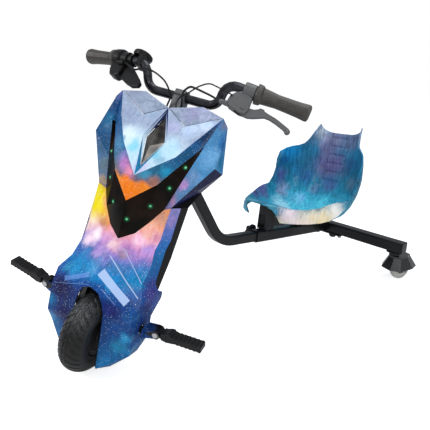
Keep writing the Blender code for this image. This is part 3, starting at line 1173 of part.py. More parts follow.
def closed_pair(name, top, bottom, mat):
    bm = bmesh.new()
    grids = [[[bm.verts.new(p) for p in row] for row in grid] for grid in (top, bottom)]
    for grid, flip in zip(grids, (1, -1)):
        for low, high in zip(grid, grid[1:]):
            for j in range(len(low) - 1):
                bm.faces.new((low[j], low[j + 1], high[j + 1], high[j])[::flip])
    one, two = grids
    last = len(one) - 1
    wide = len(one[0]) - 1
    rim = [(one[0][j], two[0][j]) for j in range(wide + 1)]
    rim += [(one[i][-1], two[i][-1]) for i in range(1, last + 1)]
    rim += [(one[-1][j], two[-1][j]) for j in range(wide - 1, -1, -1)]
    rim += [(one[i][0], two[i][0]) for i in range(last - 1, 0, -1)]
    for k in range(len(rim)):
        m = (k + 1) % len(rim)
        bm.faces.new((rim[k][0], rim[m][0], rim[m][1], rim[k][1]))
    return new_object(name, bm, mat, None, None, 50)


closed_pair("seat_shell", seat_grid(0.0), seat_grid(-SEAT_WALL), SEAT_PAINT)
# the room above the seat's underside, which trims the brackets below it
middle = slice(ACROSS // 2 - 6, ACROSS // 2 + 7)
under = [row[middle] for row in seat_grid(-SEAT_WALL - GAP)[:ALONG // 2]]
above = [[p + Vector((0, 0, 0.25)) for p in row] for row in under]
seat_room = guide(closed_pair("seat_room", above, under, SEAT_PAINT))

front_foot = on_rear_line(SLEEVE_MOUTH + 0.049)
sleeve_tilt = turned_to((0, math.sin(REAR_SLOPE), math.cos(REAR_SLOPE)))
strap = box("seat_front_bracket", (-0.020, -0.016, SLEEVE / 2 + GAP), (0.020, 0.020, 0.110), BLACK_STEEL, None,
            Matrix.Translation(front_foot) @ sleeve_tilt, 0.0015, 1)
cut(strap, box("strap_window", (-0.0155, -0.05, SLEEVE / 2 + 0.005), (0.0155, 0.05, 0.066), BLACK_STEEL, None,
               Matrix.Translation(front_foot) @ sleeve_tilt))
combine(strap, seat_room)
rear_foot = on_rear_line(0.800)
pad = box("seat_rear_bracket", (-0.024, -0.045, SLEEVE / 2 + GAP), (0.024, 0.045, 0.060), BLACK_STEEL, None,
          Matrix.Translation(rear_foot) @ sleeve_tilt, 0.0015, 1)
combine(pad, seat_room)
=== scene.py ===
import math

import bmesh
import bpy
from mathutils import Matrix, Vector


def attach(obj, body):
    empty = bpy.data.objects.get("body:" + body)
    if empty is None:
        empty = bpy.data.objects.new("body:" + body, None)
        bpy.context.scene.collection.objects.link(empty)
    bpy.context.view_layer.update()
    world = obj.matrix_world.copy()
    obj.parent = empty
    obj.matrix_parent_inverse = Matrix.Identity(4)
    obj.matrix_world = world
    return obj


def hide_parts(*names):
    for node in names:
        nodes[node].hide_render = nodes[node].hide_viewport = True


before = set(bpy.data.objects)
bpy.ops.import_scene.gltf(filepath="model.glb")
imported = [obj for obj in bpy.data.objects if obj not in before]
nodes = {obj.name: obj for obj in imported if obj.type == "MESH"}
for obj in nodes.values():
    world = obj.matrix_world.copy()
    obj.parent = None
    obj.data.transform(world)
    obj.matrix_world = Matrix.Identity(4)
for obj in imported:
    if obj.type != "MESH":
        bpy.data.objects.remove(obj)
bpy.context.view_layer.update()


# Camera, floor and light.
# The kart stands on white paper in a white room, under three large soft lamps. The camera
# looks down at its left front corner from about handlebar height.

AZIMUTH = math.radians(48.1)
ELEVATION = math.radians(19.0)
SENSOR_WIDTH = 36.0
# the focal length, fitted to the photo, is 420 pixels of a picture 430 pixels wide
LENS = SENSOR_WIDTH * 420.0 / 430.0

away = Vector((math.sin(AZIMUTH) * math.cos(ELEVATION),
               -math.cos(AZIMUTH) * math.cos(ELEVATION), math.sin(ELEVATION)))
camera = bpy.data.objects.new("camera", bpy.data.cameras.new("camera"))
bpy.context.scene.collection.objects.link(camera)
camera.location = (0.8205, -0.3464, 0.6669)
camera.rotation_mode = "QUATERNION"
camera.rotation_quaternion = (-away).to_track_quat("-Z", "Y")
camera.data.sensor_width = SENSOR_WIDTH
camera.data.lens = LENS
camera.data.clip_start = 0.01
bpy.context.scene.camera = camera
bpy.context.scene.view_settings.view_transform = "Standard"


def srgb(code, alpha=1.0):
    """Linear colour of an sRGB hex code."""
    channels = []
    for k in (0, 2, 4):
        c = int(code[k:k + 2], 16) / 255.0
        channels.append(c / 12.92 if c <= 0.04045 else ((c + 0.055) / 1.055) ** 2.4)
    return (*channels, alpha)


def add(tree, kind, inputs=None, **settings):
    """One shader node, with its settings, its values and its links."""
    made = tree.nodes.new("ShaderNode" + kind)
    for key, value in settings.items():
        setattr(made, key, value)
    for key, value in (inputs or {}).items():
        if isinstance(value, bpy.types.NodeSocket):
            tree.links.new(value, made.inputs[key])
        else:
            made.inputs[key].default_value = value
    return made


def new_finish(name):
    """Empty material with its output, ready for a shader."""
    mat = bpy.data.materials.new(name)
    mat.use_nodes = True
    mat.node_tree.nodes.clear()
    out = mat.node_tree.nodes.new("ShaderNodeOutputMaterial")
    return mat, mat.node_tree, out


# matt paper that looks pure white to the camera and still takes the kart's shadow
floor_paper, tree, out = new_finish("white paper roll")
seen = add(tree, "LightPath")
either = add(tree, "Math", {0: seen.outputs["Is Camera Ray"], 1: seen.outputs["Is Transmission Ray"]},
             operation="MAXIMUM")
PAPER_LIFT = 0.66
glow = add(tree, "Math", {0: either.outputs[0], 1: PAPER_LIFT}, operation="MULTIPLY")
paper = add(tree, "BsdfDiffuse", {"Color": srgb("EEEEEE")})
lift = add(tree, "Emission", {"Color": srgb("FFFFFF"), "Strength": glow.outputs[0]})
both = add(tree, "AddShader", {0: paper.outputs[0], 1: lift.outputs[0]})
tree.links.new(both.outputs[0], out.inputs["Surface"])

# the paper reaches this far each way, and lies a hair below the wheels
FLOOR_REACH = 9.0
FLOOR_DROP = 0.0002
bm = bmesh.new()
bmesh.ops.create_grid(bm, x_segments=2, y_segments=2, size=FLOOR_REACH)
mesh = bpy.data.meshes.new("studio_floor")
bm.to_mesh(mesh)
bm.free()
mesh.materials.append(floor_paper)
floor = bpy.data.objects.new("studio_floor", mesh)
floor.location = (0.0, 0.4, -FLOOR_DROP)
bpy.context.scene.collection.objects.link(floor)

# the room lights the kart softly, and is pure white to the camera
world = bpy.data.worlds.new("studio")
bpy.context.scene.world = world
world.use_nodes = True
tree = world.node_tree
tree.nodes.clear()
seen = add(tree, "LightPath")
either = add(tree, "Math", {0: seen.outputs["Is Camera Ray"], 1: seen.outputs["Is Transmission Ray"]},
             operation="MAXIMUM")
soft = add(tree, "Background", {"Color": srgb("F4F7FF"), "Strength": 0.50})
white = add(tree, "Background", {"Color": srgb("FFFFFF"), "Strength": 1.0})
pick = add(tree, "MixShader", {0: either.outputs[0], 1: soft.outputs[0], 2: white.outputs[0]})
room = tree.nodes.new("ShaderNodeOutputWorld")
tree.links.new(pick.outputs[0], room.inputs["Surface"])

# each lamp is (name, place, watts, width), and all three point at the middle of the kart
LAMPS = (
    ("key_softbox", (-0.9, -1.9, 2.3), 34.0, 1.3), ("side_softbox", (2.3, -0.6, 1.7), 22.0, 1.1),
    ("top_softbox", (0.3, 1.0, 2.6), 20.0, 1.6),
)
KART_MIDDLE = Vector((0.0, 0.35, 0.25))
for name, place, watts, size in LAMPS:
    lamp = bpy.data.lights.new(name, "AREA")
    lamp.energy = watts
    lamp.size = size
    box = bpy.data.objects.new(name, lamp)
    box.location = place
    box.rotation_mode = "QUATERNION"
    box.rotation_quaternion = (KART_MIDDLE - Vector(place)).to_track_quat("-Z", "Y")
    bpy.context.scene.collection.objects.link(box)


# Painted cowl: mask, top panels, side wings and lower body.
# Injection-moulded ABS panels, water-transfer printed with a nebula pattern and clear
# coated. The print covers the outside, and the inside is left in black plastic.

RAKE = math.radians(27.0)
STEERED = math.radians(28.0)
# the steering axis passes this far behind the axle of the front wheel
FORK_OFFSET = 0.0182
TYRE_RADIUS = 0.100
AXIS_UP = Vector((0.0, math.sin(RAKE), math.cos(RAKE)))
AXIS_FOOT = Vector((0.0, FORK_OFFSET / math.cos(RAKE), TYRE_RADIUS))
# from the kart's straight-ahead directions to the steered rest position
STEER = (Matrix.Translation(AXIS_FOOT) @ Matrix.Rotation(STEERED, 4, AXIS_UP)
         @ Matrix.Translation(-AXIS_FOOT))
STRAIGHTEN = STEER.inverted()


def piece_of(name, bm, mats, body, stands_for, sharp, basis=None):
    """Object from a mesh, riding on its body in place of the nodes that it stands for.
    Edges of more than `sharp` degrees show, and `basis` moves the mesh to its place."""
    bmesh.ops.recalc_face_normals(bm, faces=bm.faces)
    mesh = bpy.data.meshes.new(name)
    bm.to_mesh(mesh)
    bm.free()
    for mat in mats:
        mesh.materials.append(mat)
    mesh.shade_smooth()
    mesh.set_sharp_from_angle(angle=math.radians(sharp))
    if basis is not None:
        mesh.transform(basis)
    made = bpy.data.objects.new(name, mesh)
    bpy.context.scene.collection.objects.link(made)
    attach(made, body)
    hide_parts(*stands_for)
    return made


# corners closer than this are one
WELD = 0.00001


def solid_of(node):
    """Mesh of a CAD solid with its flat facets whole."""
    bm = bmesh.new()
    bm.from_mesh(nodes[node].data)
    bmesh.ops.remove_doubles(bm, verts=bm.verts, dist=WELD)
    bmesh.ops.dissolve_limit(bm, angle_limit=math.radians(0.6), verts=bm.verts, edges=bm.edges)
    for face in bm.faces:
        face.material_index = 0
    return bm


EASED_ANGLE = math.radians(24.0)
EASED_LENGTH = 0.006


def ease_edges(bm, width):
    """Rounds the edges of moulded facets, as a mould's polished corners leave them. Edges
    between two facets of a panel's second print stay crisp, and so does its third print."""
    edges = []
    for edge in bm.edges:
        if len(edge.link_faces) == 2 and edge.calc_length() > EASED_LENGTH:
            finishes = [face.material_index for face in edge.link_faces]
            if edge.calc_face_angle() > EASED_ANGLE and 2 not in finishes and finishes != [1, 1]:
                edges.append(edge)
    bmesh.ops.bevel(bm, geom=edges, offset=width, segments=2, profile=0.5, affect="EDGES",
                    clamp_overlap=True)


# specks of the print: (cell in metres, radius as a share of the cell, share of empty cells)
SPECKS = ((0.0085, 0.13, 0.74), (0.0030, 0.23, 0.52))


def nebula_print(name, ramp, clouds, stars, swirl, upright=STRAIGHTEN, marks=(), streaks=0.0):
    """Clear-coated nebula print: bands of colour by height, soft clouds, dust and bright specks.
    The ramp is (height, colour) and each cloud is (x, y, z, radius, colour, strength) in metres;
    each mark is a printed bar, (x, z, turn, half length, half width, colour, strength), seen
    from straight ahead; streaks run up and down. `stars` is how bright the specks are. The
    bands and clouds are drawn out by about `swirl` metres, and `upright` brings a steered point
    back to where its height is read."""
    mat, tree, out = new_finish(name)
    place = add(tree, "TexCoord")
    turn = add(tree, "Mapping", {"Vector": place.outputs["Object"], "Location": upright.translation,
                                 "Rotation": upright.to_euler("XYZ")}, vector_type="POINT")
    still = turn.outputs[0]
    # clouds drift over 45 mm, with finer and finer wisps in them, down to a millimetre
    drift = add(tree, "TexNoise", {"Vector": still, "Scale": 1.0 / 0.045, "Detail": 6.0, "Roughness": 0.66})
    centred = add(tree, "VectorMath", {0: drift.outputs["Color"], 1: (0.5, 0.5, 0.5)}, operation="SUBTRACT")
    # the noise strays by about a quarter from its middle
    push = add(tree, "VectorMath", {0: centred.outputs[0], "Scale": 4.0 * swirl}, operation="SCALE")
    moved = add(tree, "VectorMath", {0: still, 1: push.outputs[0]}, operation="ADD")
    height = add(tree, "SeparateXYZ", {0: moved.outputs[0]})
    low = ramp[0][0]
    high = ramp[-1][0]
    share = add(tree, "MapRange", {"Value": height.outputs[2], "From Min": low, "From Max": high})
    bands = add(tree, "ValToRGB", {"Fac": share.outputs[0]})
    for z, shade in ramp[1:-1]:
        bands.color_ramp.elements.new((z - low) / (high - low)).color = srgb(shade)
    bands.color_ramp.elements[0].color = srgb(ramp[0][1])
    bands.color_ramp.elements[-1].color = srgb(ramp[-1][1])
    colour = bands.outputs["Color"]
    for x, y, z, radius, shade, strength in clouds:
        local = add(tree, "Mapping", {"Vector": moved.outputs[0], "Location": (x, y, z),
                                      "Scale": (radius,) * 3}, vector_type="TEXTURE")
        ball = add(tree, "TexGradient", {"Vector": local.outputs[0]}, gradient_type="SPHERICAL")
        soft = add(tree, "MapRange", {"Value": ball.outputs["Fac"], "From Max": 0.85, "To Max": strength},
                   interpolation_type="SMOOTHSTEP")
        colour = add(tree, "Mix", {0: soft.outputs[0], 6: colour, 7: srgb(shade)},
                     data_type="RGBA").outputs[2]
    # dust: light and dark mottling at 9 mm
    dust = add(tree, "TexNoise", {"Vector": moved.outputs[0], "Scale": 1.0 / 0.009, "Detail": 6.0,
                                  "Roughness": 0.7})
    grey = add(tree, "MapRange", {"Value": dust.outputs["Fac"], "From Min": 0.30, "From Max": 0.70,
                                  "To Min": 0.22, "To Max": 0.74})
    colour = add(tree, "Mix", {0: 0.42, 6: colour, 7: grey.outputs[0]}, data_type="RGBA",
                 blend_type="OVERLAY").outputs[2]
    if streaks:
        # brush streaks, 5 mm wide and about 60 mm long
        along = add(tree, "Mapping", {"Vector": still, "Scale": (1 / 0.005, 1 / 0.012, 1 / 0.060)})
        brush = add(tree, "TexNoise", {"Vector": along.outputs[0], "Scale": 1.0, "Detail": 3.0})
        tone = add(tree, "MapRange", {"Value": brush.outputs["Fac"], "From Min": 0.35, "From Max": 0.65,
                                      "To Min": 0.15, "To Max": 0.85})
        colour = add(tree, "Mix", {0: streaks, 6: colour, 7: tone.outputs[0]}, data_type="RGBA",
                     blend_type="OVERLAY").outputs[2]
    for cell, size, empty in SPECKS:
        points = add(tree, "TexVoronoi", {"Vector": still, "Scale": 1.0 / cell})
        dot = add(tree, "MapRange", {"Value": points.outputs["Distance"], "From Min": size,
                                     "From Max": size * 0.35, "To Max": stars},
                  interpolation_type="SMOOTHSTEP")
        split = add(tree, "SeparateColor", {0: points.outputs["Color"]})
        lit = add(tree, "Math", {0: split.outputs[0], 1: empty}, operation="GREATER_THAN")
        bright = add(tree, "Math", {0: dot.outputs[0], 1: lit.outputs[0]}, operation="MULTIPLY")
        colour = add(tree, "Mix", {0: bright.outputs[0], 6: colour, 7: srgb("D8F2FF")},
                     data_type="RGBA").outputs[2]
    for x, z, turned, long, wide, shade, strength in marks:
        local = add(tree, "Mapping", {"Vector": still, "Location": (x, 0.0, z),
                                      "Rotation": (0.0, -turned, 0.0)}, vector_type="TEXTURE")
        axes = add(tree, "SeparateXYZ", {0: local.outputs[0]})
        inside = strength
        for axis, reach in ((0, long), (2, wide)):
            off = add(tree, "Math", {0: axes.outputs[axis]}, operation="ABSOLUTE")
            edge = add(tree, "MapRange", {"Value": off.outputs[0], "From Min": reach + 0.0003,
                                          "From Max": reach - 0.0003})
            inside = add(tree, "Math", {0: edge.outputs[0], 1: inside}, operation="MULTIPLY").outputs[0]
        colour = add(tree, "Mix", {0: inside, 6: colour, 7: srgb(shade)}, data_type="RGBA").outputs[2]
    # orange peel of the clear coat, about 2.5 mm across
    peel = add(tree, "TexNoise", {"Vector": still, "Scale": 1.0 / 0.0025, "Detail": 1.0})
    bump = add(tree, "Bump", {"Height": peel.outputs["Fac"], "Strength": 0.03, "Distance": 0.0002})
    paint = add(tree, "BsdfPrincipled", {"Base Color": colour, "Roughness": 0.45, "IOR": 1.50,
                                         "Specular IOR Level": 0.06, "Coat Weight": 0.13,
                                         "Coat Roughness": 0.06, "Coat IOR": 1.50,
                                         "Normal": bump.outputs[0]})
    tree.links.new(paint.outputs[0], out.inputs["Surface"])
    return mat


# the mask's upper facets: pale silver blue with a cyan bloom beside the emblem
PALE_PRINT = nebula_print(
    "clear-coated ABS, pale nebula print",
    ((0.440, "B4BCDC"), (0.480, "BCDCEC"), (0.515, "C8E2F2"), (0.545, "9EAEC8"), (0.610, "98A8C2")),
    ((-0.066, 0.174, 0.515, 0.034, "DCEEF4", 1.0), (-0.056, 0.163, 0.498, 0.026, "D4ECF2", 0.9),
     (-0.036, 0.158, 0.498, 0.026, "84D4E8", 0.9), (-0.088, 0.200, 0.556, 0.040, "98A8C4", 0.9),
     (-0.030, 0.215, 0.570, 0.030, "9CB2CC", 0.8), (-0.075, 0.163, 0.508, 0.014, "5C9CCC", 0.8),
     (0.071, 0.207, 0.559, 0.034, "BCD0EA", 1.0), (0.099, 0.221, 0.576, 0.028, "C4D8F0", 1.0),
     (0.047, 0.172, 0.516, 0.034, "B4DCF2", 0.9), (0.030, 0.205, 0.552, 0.026, "B4B8DC", 0.8),
     (0.038, 0.149, 0.493, 0.022, "8CB8D0", 0.9), (0.022, 0.158, 0.500, 0.018, "6CC4E0", 0.8),
     (0.004, 0.132, 0.474, 0.024, "C4BCE4", 0.8)),
    stars=0.35, swirl=0.010, streaks=0.10)
# the band of facets below the mask's crease: orange at the tip, then pink, then deep blue
STRIP_PRINT = nebula_print(
    "clear-coated ABS, vivid nebula print",
    ((0.405, "E87A1C"), (0.440, "EC8A34"), (0.450, "6C6070"), (0.466, "24607E"), (0.510, "1F588A"),
     (0.600, "1F4A80")),
    ((-0.072, 0.158, 0.500, 0.030, "3478A4", 1.0), (-0.050, 0.138, 0.478, 0.024, "7C78B8", 1.0),
     (-0.036, 0.127, 0.466, 0.026, "B070B4", 1.0), (-0.014, 0.118, 0.458, 0.026, "DC84A8", 1.0),
     (0.000, 0.095, 0.420, 0.034, "EE7C14", 1.0), (-0.022, 0.108, 0.440, 0.020, "F08028", 1.0),
     (0.024, 0.104, 0.436, 0.020, "E87F24", 0.9), (0.045, 0.120, 0.452, 0.018, "B07050", 0.7),
     (0.020, 0.118, 0.462, 0.018, "3A90B4", 0.8), (0.064, 0.138, 0.476, 0.022, "1F86AE", 1.0),
     (0.085, 0.166, 0.512, 0.032, "1A4E74", 1.0), (0.115, 0.205, 0.560, 0.040, "143458", 1.0)),
    stars=0.7, swirl=0.008)
# the recess round the emblem: teal at its foot and navy above
RECESS_PRINT = nebula_print(
    "clear-coated ABS, navy nebula print in the recess",
    ((0.460, "1C7CA8"), (0.495, "1C6E9C"), (0.525, "1C3468"), (0.580, "182650")),
    (), stars=0.3, swirl=0.006)
# the top panels: silver lilac in wavering stripes, like brushed metal
TOP_PRINT = nebula_print(
    "clear-coated ABS, silver-lilac nebula print",
    ((0.555, "8694AC"), (0.568, "A2B0C6"), (0.580, "8290A8"), (0.592, "A4B0C6"), (0.602, "8896B0"),
     (0.612, "A4B2C8")),
    ((-0.085, 0.240, 0.596, 0.034, "94A2BC", 0.8), (0.060, 0.236, 0.590, 0.034, "A09EC6", 0.8),
     (0.100, 0.236, 0.590, 0.026, "B0B6D8", 0.8)),
    stars=0.25, swirl=0.034)


def front_of(point):
    """Where a point of the steered rest position is with the wheel straight ahead."""
    return STRAIGHTEN @ Vector(point)


# bare plastic with a 1.2 mm mould grain, which looks dull black
RAW_ABS, tree, out = new_finish("moulded black ABS")
place = add(tree, "TexCoord")
grain = add(tree, "TexNoise", {"Vector": place.outputs["Object"], "Scale": 1.0 / 0.0012, "Detail": 2.0})
dull = add(tree, "MapRange", {"Value": grain.outputs["Fac"], "To Min": 0.42, "To Max": 0.58})
bump = add(tree, "Bump", {"Height": grain.outputs["Fac"], "Strength": 0.25, "Distance": 0.0002})
skin = add(tree, "BsdfPrincipled", {"Base Color": srgb("0A0A0C"), "Roughness": dull.outputs[0], "IOR": 1.53,
                                    "Specular IOR Level": 0.25, "Normal": bump.outputs[0]})
tree.links.new(skin.outputs[0], out.inputs["Surface"])


def inside_faces(bm, middle):
    """Faces of a panel that look into the cowl."""
    found = []
    for face in bm.faces:
        spot = front_of(face.calc_center_median())
        way = STRAIGHTEN.to_3x3() @ face.normal
        if way.dot(spot - Vector(middle)) < 0.0:
            found.append(face)
    return found


# width of the polished corners
PANEL_EDGE = 0.0006


def panel(node, name, mats, middle, pick=None, crisp=24.0):
    """Printed panel made from its CAD solid: eased edges, print outside and bare ABS inside.
    `pick` says which print a facet has, and `middle` is a point inside the cowl. Facets that
    meet at less than `crisp` degrees run into each other softly."""
    bm = solid_of(node)
    bm.normal_update()
    hidden = set(inside_faces(bm, middle))
    for face in bm.faces:
        if face in hidden:
            face.material_index = len(mats)
        elif pick:
            face.material_index = pick(front_of(face.calc_center_median()),
                                       STRAIGHTEN.to_3x3() @ face.normal)
    ease_edges(bm, PANEL_EDGE)
    return piece_of(name, bm, list(mats) + [RAW_ABS], "steering", (node,), crisp)


# the mask's crease, as (distance from the middle, height), and the recess round the emblem
CREASE = ((0.0, 0.456), (0.068, 0.505), (0.101, 0.551), (0.132, 0.597))
CREASE_SLACK = 0.0005
RECESS_HALF = 0.0175
RECESS_FOOT = 0.47


def below_crease(spot, way):
    """Print of a facet of the mask: 2 in the recess, 1 below the crease, 0 above it."""
    side = abs(spot.x)
    if side < RECESS_HALF and spot.z > RECESS_FOOT:
        return 2
    for (x0, z0), (x1, z1) in zip(CREASE, CREASE[1:]):
        if side <= x1:
            line = z0 + (z1 - z0) * (side - x0) / (x1 - x0)
            return 1 if spot.z < line - CREASE_SLACK else 0
    return 1


panel("cowl_mask", "mask_panel", (PALE_PRINT, STRIP_PRINT, RECESS_PRINT),
      (0.0, 0.26, 0.47), below_crease)
# each top panel lies in its opening with a seam of just under a millimetre all round
LID_SHARE = 0.982
for side in ("left", "right"):
    lid = panel("top_panel_" + side, "upper_panel_" + side, (TOP_PRINT,), (0.0, 0.26, 0.40))
    centre = sum((v.co for v in lid.data.vertices), Vector()) / len(lid.data.vertices)
    for vert in lid.data.vertices:
        vert.co = centre + (vert.co - centre) * LID_SHARE

# the side wings: sky blue on the rider's left and a deep starry blue on the right
WING_PRINT = nebula_print(
    "clear-coated ABS, blue nebula print",
    ((0.400, "746C98"), (0.430, "5478A4"), (0.480, "4484B4"), (0.530, "4C8CBE"), (0.600, "3E749E")),
    ((-0.145, 0.200, 0.510, 0.170, "1A4C7C", 1.0), (0.140, 0.185, 0.515, 0.034, "6CA6D4", 0.9),
     (0.118, 0.165, 0.470, 0.034, "6C90BC", 0.9),
     (0.100, 0.145, 0.452, 0.020, "A884BC", 1.0), (0.093, 0.126, 0.424, 0.020, "A478A0", 0.9),
     (0.156, 0.220, 0.545, 0.030, "2A68A4", 1.0), (0.158, 0.212, 0.505, 0.028, "1F709C", 1.0),
     (0.146, 0.228, 0.580, 0.022, "6C7490", 1.0), (0.132, 0.225, 0.580, 0.016, "4C6C9C", 0.8),
     (-0.140, 0.215, 0.561, 0.048, "133C70", 1.0), (-0.133, 0.189, 0.531, 0.036, "1A6A94", 1.0),
     (-0.148, 0.200, 0.510, 0.040, "174E7C", 1.0), (-0.117, 0.162, 0.479, 0.036, "1C4C74", 1.0),
     (-0.130, 0.180, 0.460, 0.036, "2C6488", 1.0), (-0.102, 0.139, 0.440, 0.032, "5C7484", 1.0),
     (-0.092, 0.124, 0.408, 0.024, "A89470", 0.9), (-0.130, 0.232, 0.590, 0.024, "5A62A4", 0.8)),
    stars=0.95, swirl=0.012)
# the wings' lower flanges: almost black navy, the print darkened to a painted shade on the facets that look
# down
WING_SHADE_PRINT = nebula_print(
    "clear-coated ABS, navy nebula print", ((0.400, "12164A"), (0.450, "0C103C"), (0.500, "0E1240")),
    ((0.110, 0.160, 0.415, 0.030, "1C2866", 0.8), (-0.110, 0.160, 0.415, 0.030, "1C2866", 0.8)),
    stars=0.35, swirl=0.014)

# a facet looks down, or ahead, when its normal leans further that way than this
LOOKS_DOWN = -0.25
LOOKS_AHEAD = -0.60


def wing_shaded_side(spot, way):
    """Facets of a wing that look down, and not straight ahead, have the navy print, darkened as a painted
    shade.
    """
    return 1 if way.z < LOOKS_DOWN and way.y > LOOKS_AHEAD else 0


for side, middle in (("left", (0.06, 0.25, 0.47)), ("right", (-0.06, 0.25, 0.47))):
    panel("side_wing_" + side, "wing_panel_" + side, (WING_PRINT, WING_SHADE_PRINT),
          middle, wing_shaded_side, 9.0)


def bar_mark(start, end, half_width, shade, strength):
    """Printed bar between two points given as (x, z)."""
    along = (end[0] - start[0], end[1] - start[1])
    return ((start[0] + end[0]) / 2, (start[1] + end[1]) / 2, math.atan2(along[1], along[0]),
            math.hypot(*along) / 2, half_width, shade, strength)


# the lower cowl: yellow and pink clouds at the waist over a starry blue, with printed bars
BODY_PRINT = nebula_print(
    "clear-coated ABS, sunset nebula print",
    ((0.030, "17689E"), (0.080, "1A6098"), (0.120, "1B4C8C"), (0.160, "1B3C78"), (0.205, "1C3272"),
     (0.235, "1C58A0"), (0.256, "1B80BE"), (0.272, "4478B8"), (0.288, "8E7CC4"), (0.302, "CC90C8"),
     (0.325, "F0A8B4"), (0.352, "F0AC90"), (0.380, "E89668"), (0.420, "E89A5C")),
    ((0.000, -0.020, 0.205, 0.044, "1B2E74", 0.8), (0.052, -0.026, 0.190, 0.030, "2A3076", 0.9),
     (0.040, -0.010, 0.246, 0.020, "2C96C8", 0.8), (-0.084, 0.010, 0.236, 0.024, "2888B8", 0.9),
     (-0.080, -0.025, 0.190, 0.048, "1D1B4C", 1.0),
     (-0.060, -0.025, 0.130, 0.050, "1C1E54", 1.0), (0.103, -0.010, 0.192, 0.034, "1B5494", 1.0),
     (0.114, 0.048, 0.225, 0.036, "3C3A86", 1.0), (0.116, 0.070, 0.190, 0.034, "2A4C9C", 0.9),
     (0.098, -0.018, 0.165, 0.026, "1C4C8C", 0.8), (0.085, -0.022, 0.112, 0.034, "2484B0", 0.9),
     (0.070, -0.022, 0.155, 0.026, "1B4684", 0.9), (0.100, -0.018, 0.138, 0.022, "2890C0", 0.9),
     (0.112, -0.005, 0.105, 0.024, "1E84B8", 0.9),
     (0.064, -0.035, 0.055, 0.034, "1A74B0", 0.9), (-0.104, -0.010, 0.150, 0.026, "1C80B8", 0.9),
     (-0.104, -0.010, 0.100, 0.030, "2A80B8", 0.9), (-0.060, 0.004, 0.246, 0.034, "1F88C0", 1.0),
     (-0.020, 0.000, 0.258, 0.030, "3090C8", 0.9), (0.060, 0.010, 0.250, 0.030, "1B78B4", 0.9),
     (0.085, 0.034, 0.255, 0.036, "107CB4", 1.0), (0.030, 0.024, 0.275, 0.020, "3A78B0", 0.8),
     (-0.084, 0.045, 0.268, 0.026, "3A62B0", 0.9), (-0.032, 0.040, 0.280, 0.022, "B494D4", 0.9),
     (-0.069, 0.060, 0.288, 0.026, "F6DCEE", 1.0), (-0.062, 0.070, 0.305, 0.024, "FBEEF2", 1.0),
     (-0.095, 0.078, 0.298, 0.022, "F4D8D8", 0.9), (-0.092, 0.090, 0.326, 0.034, "FAE8D4", 1.0),
     (0.000, 0.058, 0.302, 0.024, "F0CCD0", 0.9), (0.026, 0.052, 0.292, 0.016, "A08C90", 0.6),
     (0.079, 0.078, 0.308, 0.026, "BC98DC", 1.0), (0.050, 0.081, 0.324, 0.030, "FACCE4", 1.0),
     (-0.050, 0.086, 0.334, 0.026, "B07850", 1.0), (-0.040, 0.090, 0.340, 0.028, "F0A05C", 1.0),
     (-0.062, 0.098, 0.356, 0.022, "F0B040", 1.0), (-0.088, 0.100, 0.352, 0.044, "F4E018", 1.0),
     (-0.094, 0.114, 0.378, 0.036, "F6E420", 1.0), (0.078, 0.114, 0.378, 0.030, "CC947C", 1.0),
     (0.062, 0.096, 0.346, 0.028, "F2B0A0", 0.9), (0.082, 0.092, 0.335, 0.018, "D898B8", 0.8)),
    stars=1.0, swirl=0.010, streaks=0.22,
    marks=(bar_mark((0.008, 0.263), (0.085, 0.220), 0.0060, "B4CCF2", 0.88),
           bar_mark((-0.075, 0.2175), (-0.0145, 0.251), 0.0042, "6E9AE0", 0.55),
           bar_mark((0.005, 0.288), (0.101, 0.2295), 0.0006, "D4E4FA", 0.62),
           bar_mark((0.024, 0.299), (0.093, 0.251), 0.0006, "C4D4F4", 0.60),
           bar_mark((0.023, 0.234), (0.063, 0.213), 0.0005, "A4C0F0", 0.55),
           bar_mark((-0.101, 0.198), (-0.005, 0.235), 0.0005, "88B4EC", 0.45)))
# its side on the rider's left: dusk blue that turns to lilac at the waist
SHOULDER_PRINT = nebula_print(
    "clear-coated ABS, dusk nebula print",
    ((0.240, "34408A"), (0.254, "245C9C"), (0.290, "2268A4"), (0.320, "2E6CB8"), (0.350, "5C74C0"),
     (0.400, "8A84C0")),
    ((0.112, 0.095, 0.330, 0.022, "2A7CB4", 0.8), (0.106, 0.120, 0.375, 0.022, "A088C4", 0.8)),
    stars=0.8, swirl=0.010)

# the strips along its two sides lie this far out, above this height, and face this far sideways
STRIP_OUT = 0.088
STRIP_FOOT = 0.235
STRIP_TILT = 0.45


def on_side_strip(spot, way):
    """Whether a facet of the lower cowl is on one of its two side strips."""
    return abs(spot.x) > STRIP_OUT and spot.z > STRIP_FOOT and abs(way.x) > STRIP_TILT


def shoulder_side(spot, way):
    """The side strip on the rider's left is dusk blue."""
    return 1 if on_side_strip(spot, way) and spot.x > 0 else 0


lower = panel("cowl_lower", "lower_panel", (BODY_PRINT, SHOULDER_PRINT), (0.0, 0.10, 0.20),
              shoulder_side)

# along both sides the print stops 15 to 20 mm short of the rear cover, at a straight line,
# which is given by two of its points with the wheel straight ahead
EDGE_FOOT = Vector((0.0, 0.0705, 0.2400))
EDGE_HEAD = Vector((0.0, 0.1430, 0.3990))
edge_up = EDGE_HEAD - EDGE_FOOT
edge_out = STEER.to_3x3() @ Vector((0.0, edge_up.z, -edge_up.y)).normalized()
bm = bmesh.new()
bm.from_mesh(lower.data)
cut_at = STEER @ EDGE_FOOT
bmesh.ops.bisect_plane(bm, geom=bm.verts[:] + bm.edges[:] + bm.faces[:], plane_co=cut_at,
                       plane_no=edge_out)
for face in bm.faces:
    spot = face.calc_center_median()
    way = STRAIGHTEN.to_3x3() @ face.normal
    if edge_out.dot(spot - cut_at) > 0.0 and on_side_strip(front_of(spot), way):
        face.material_index = 2
bm.to_mesh(lower.data)
bm.free()


def carried(node, mat):
    """CAD solid shown as it is, in its own finish."""
    shown = nodes[node]
    shown.data.materials.clear()
    shown.data.materials.append(mat)
    return shown


for node in ("cowl_rear_cover", "battery_pack", "wheel_well"):
    carried(node, RAW_ABS)


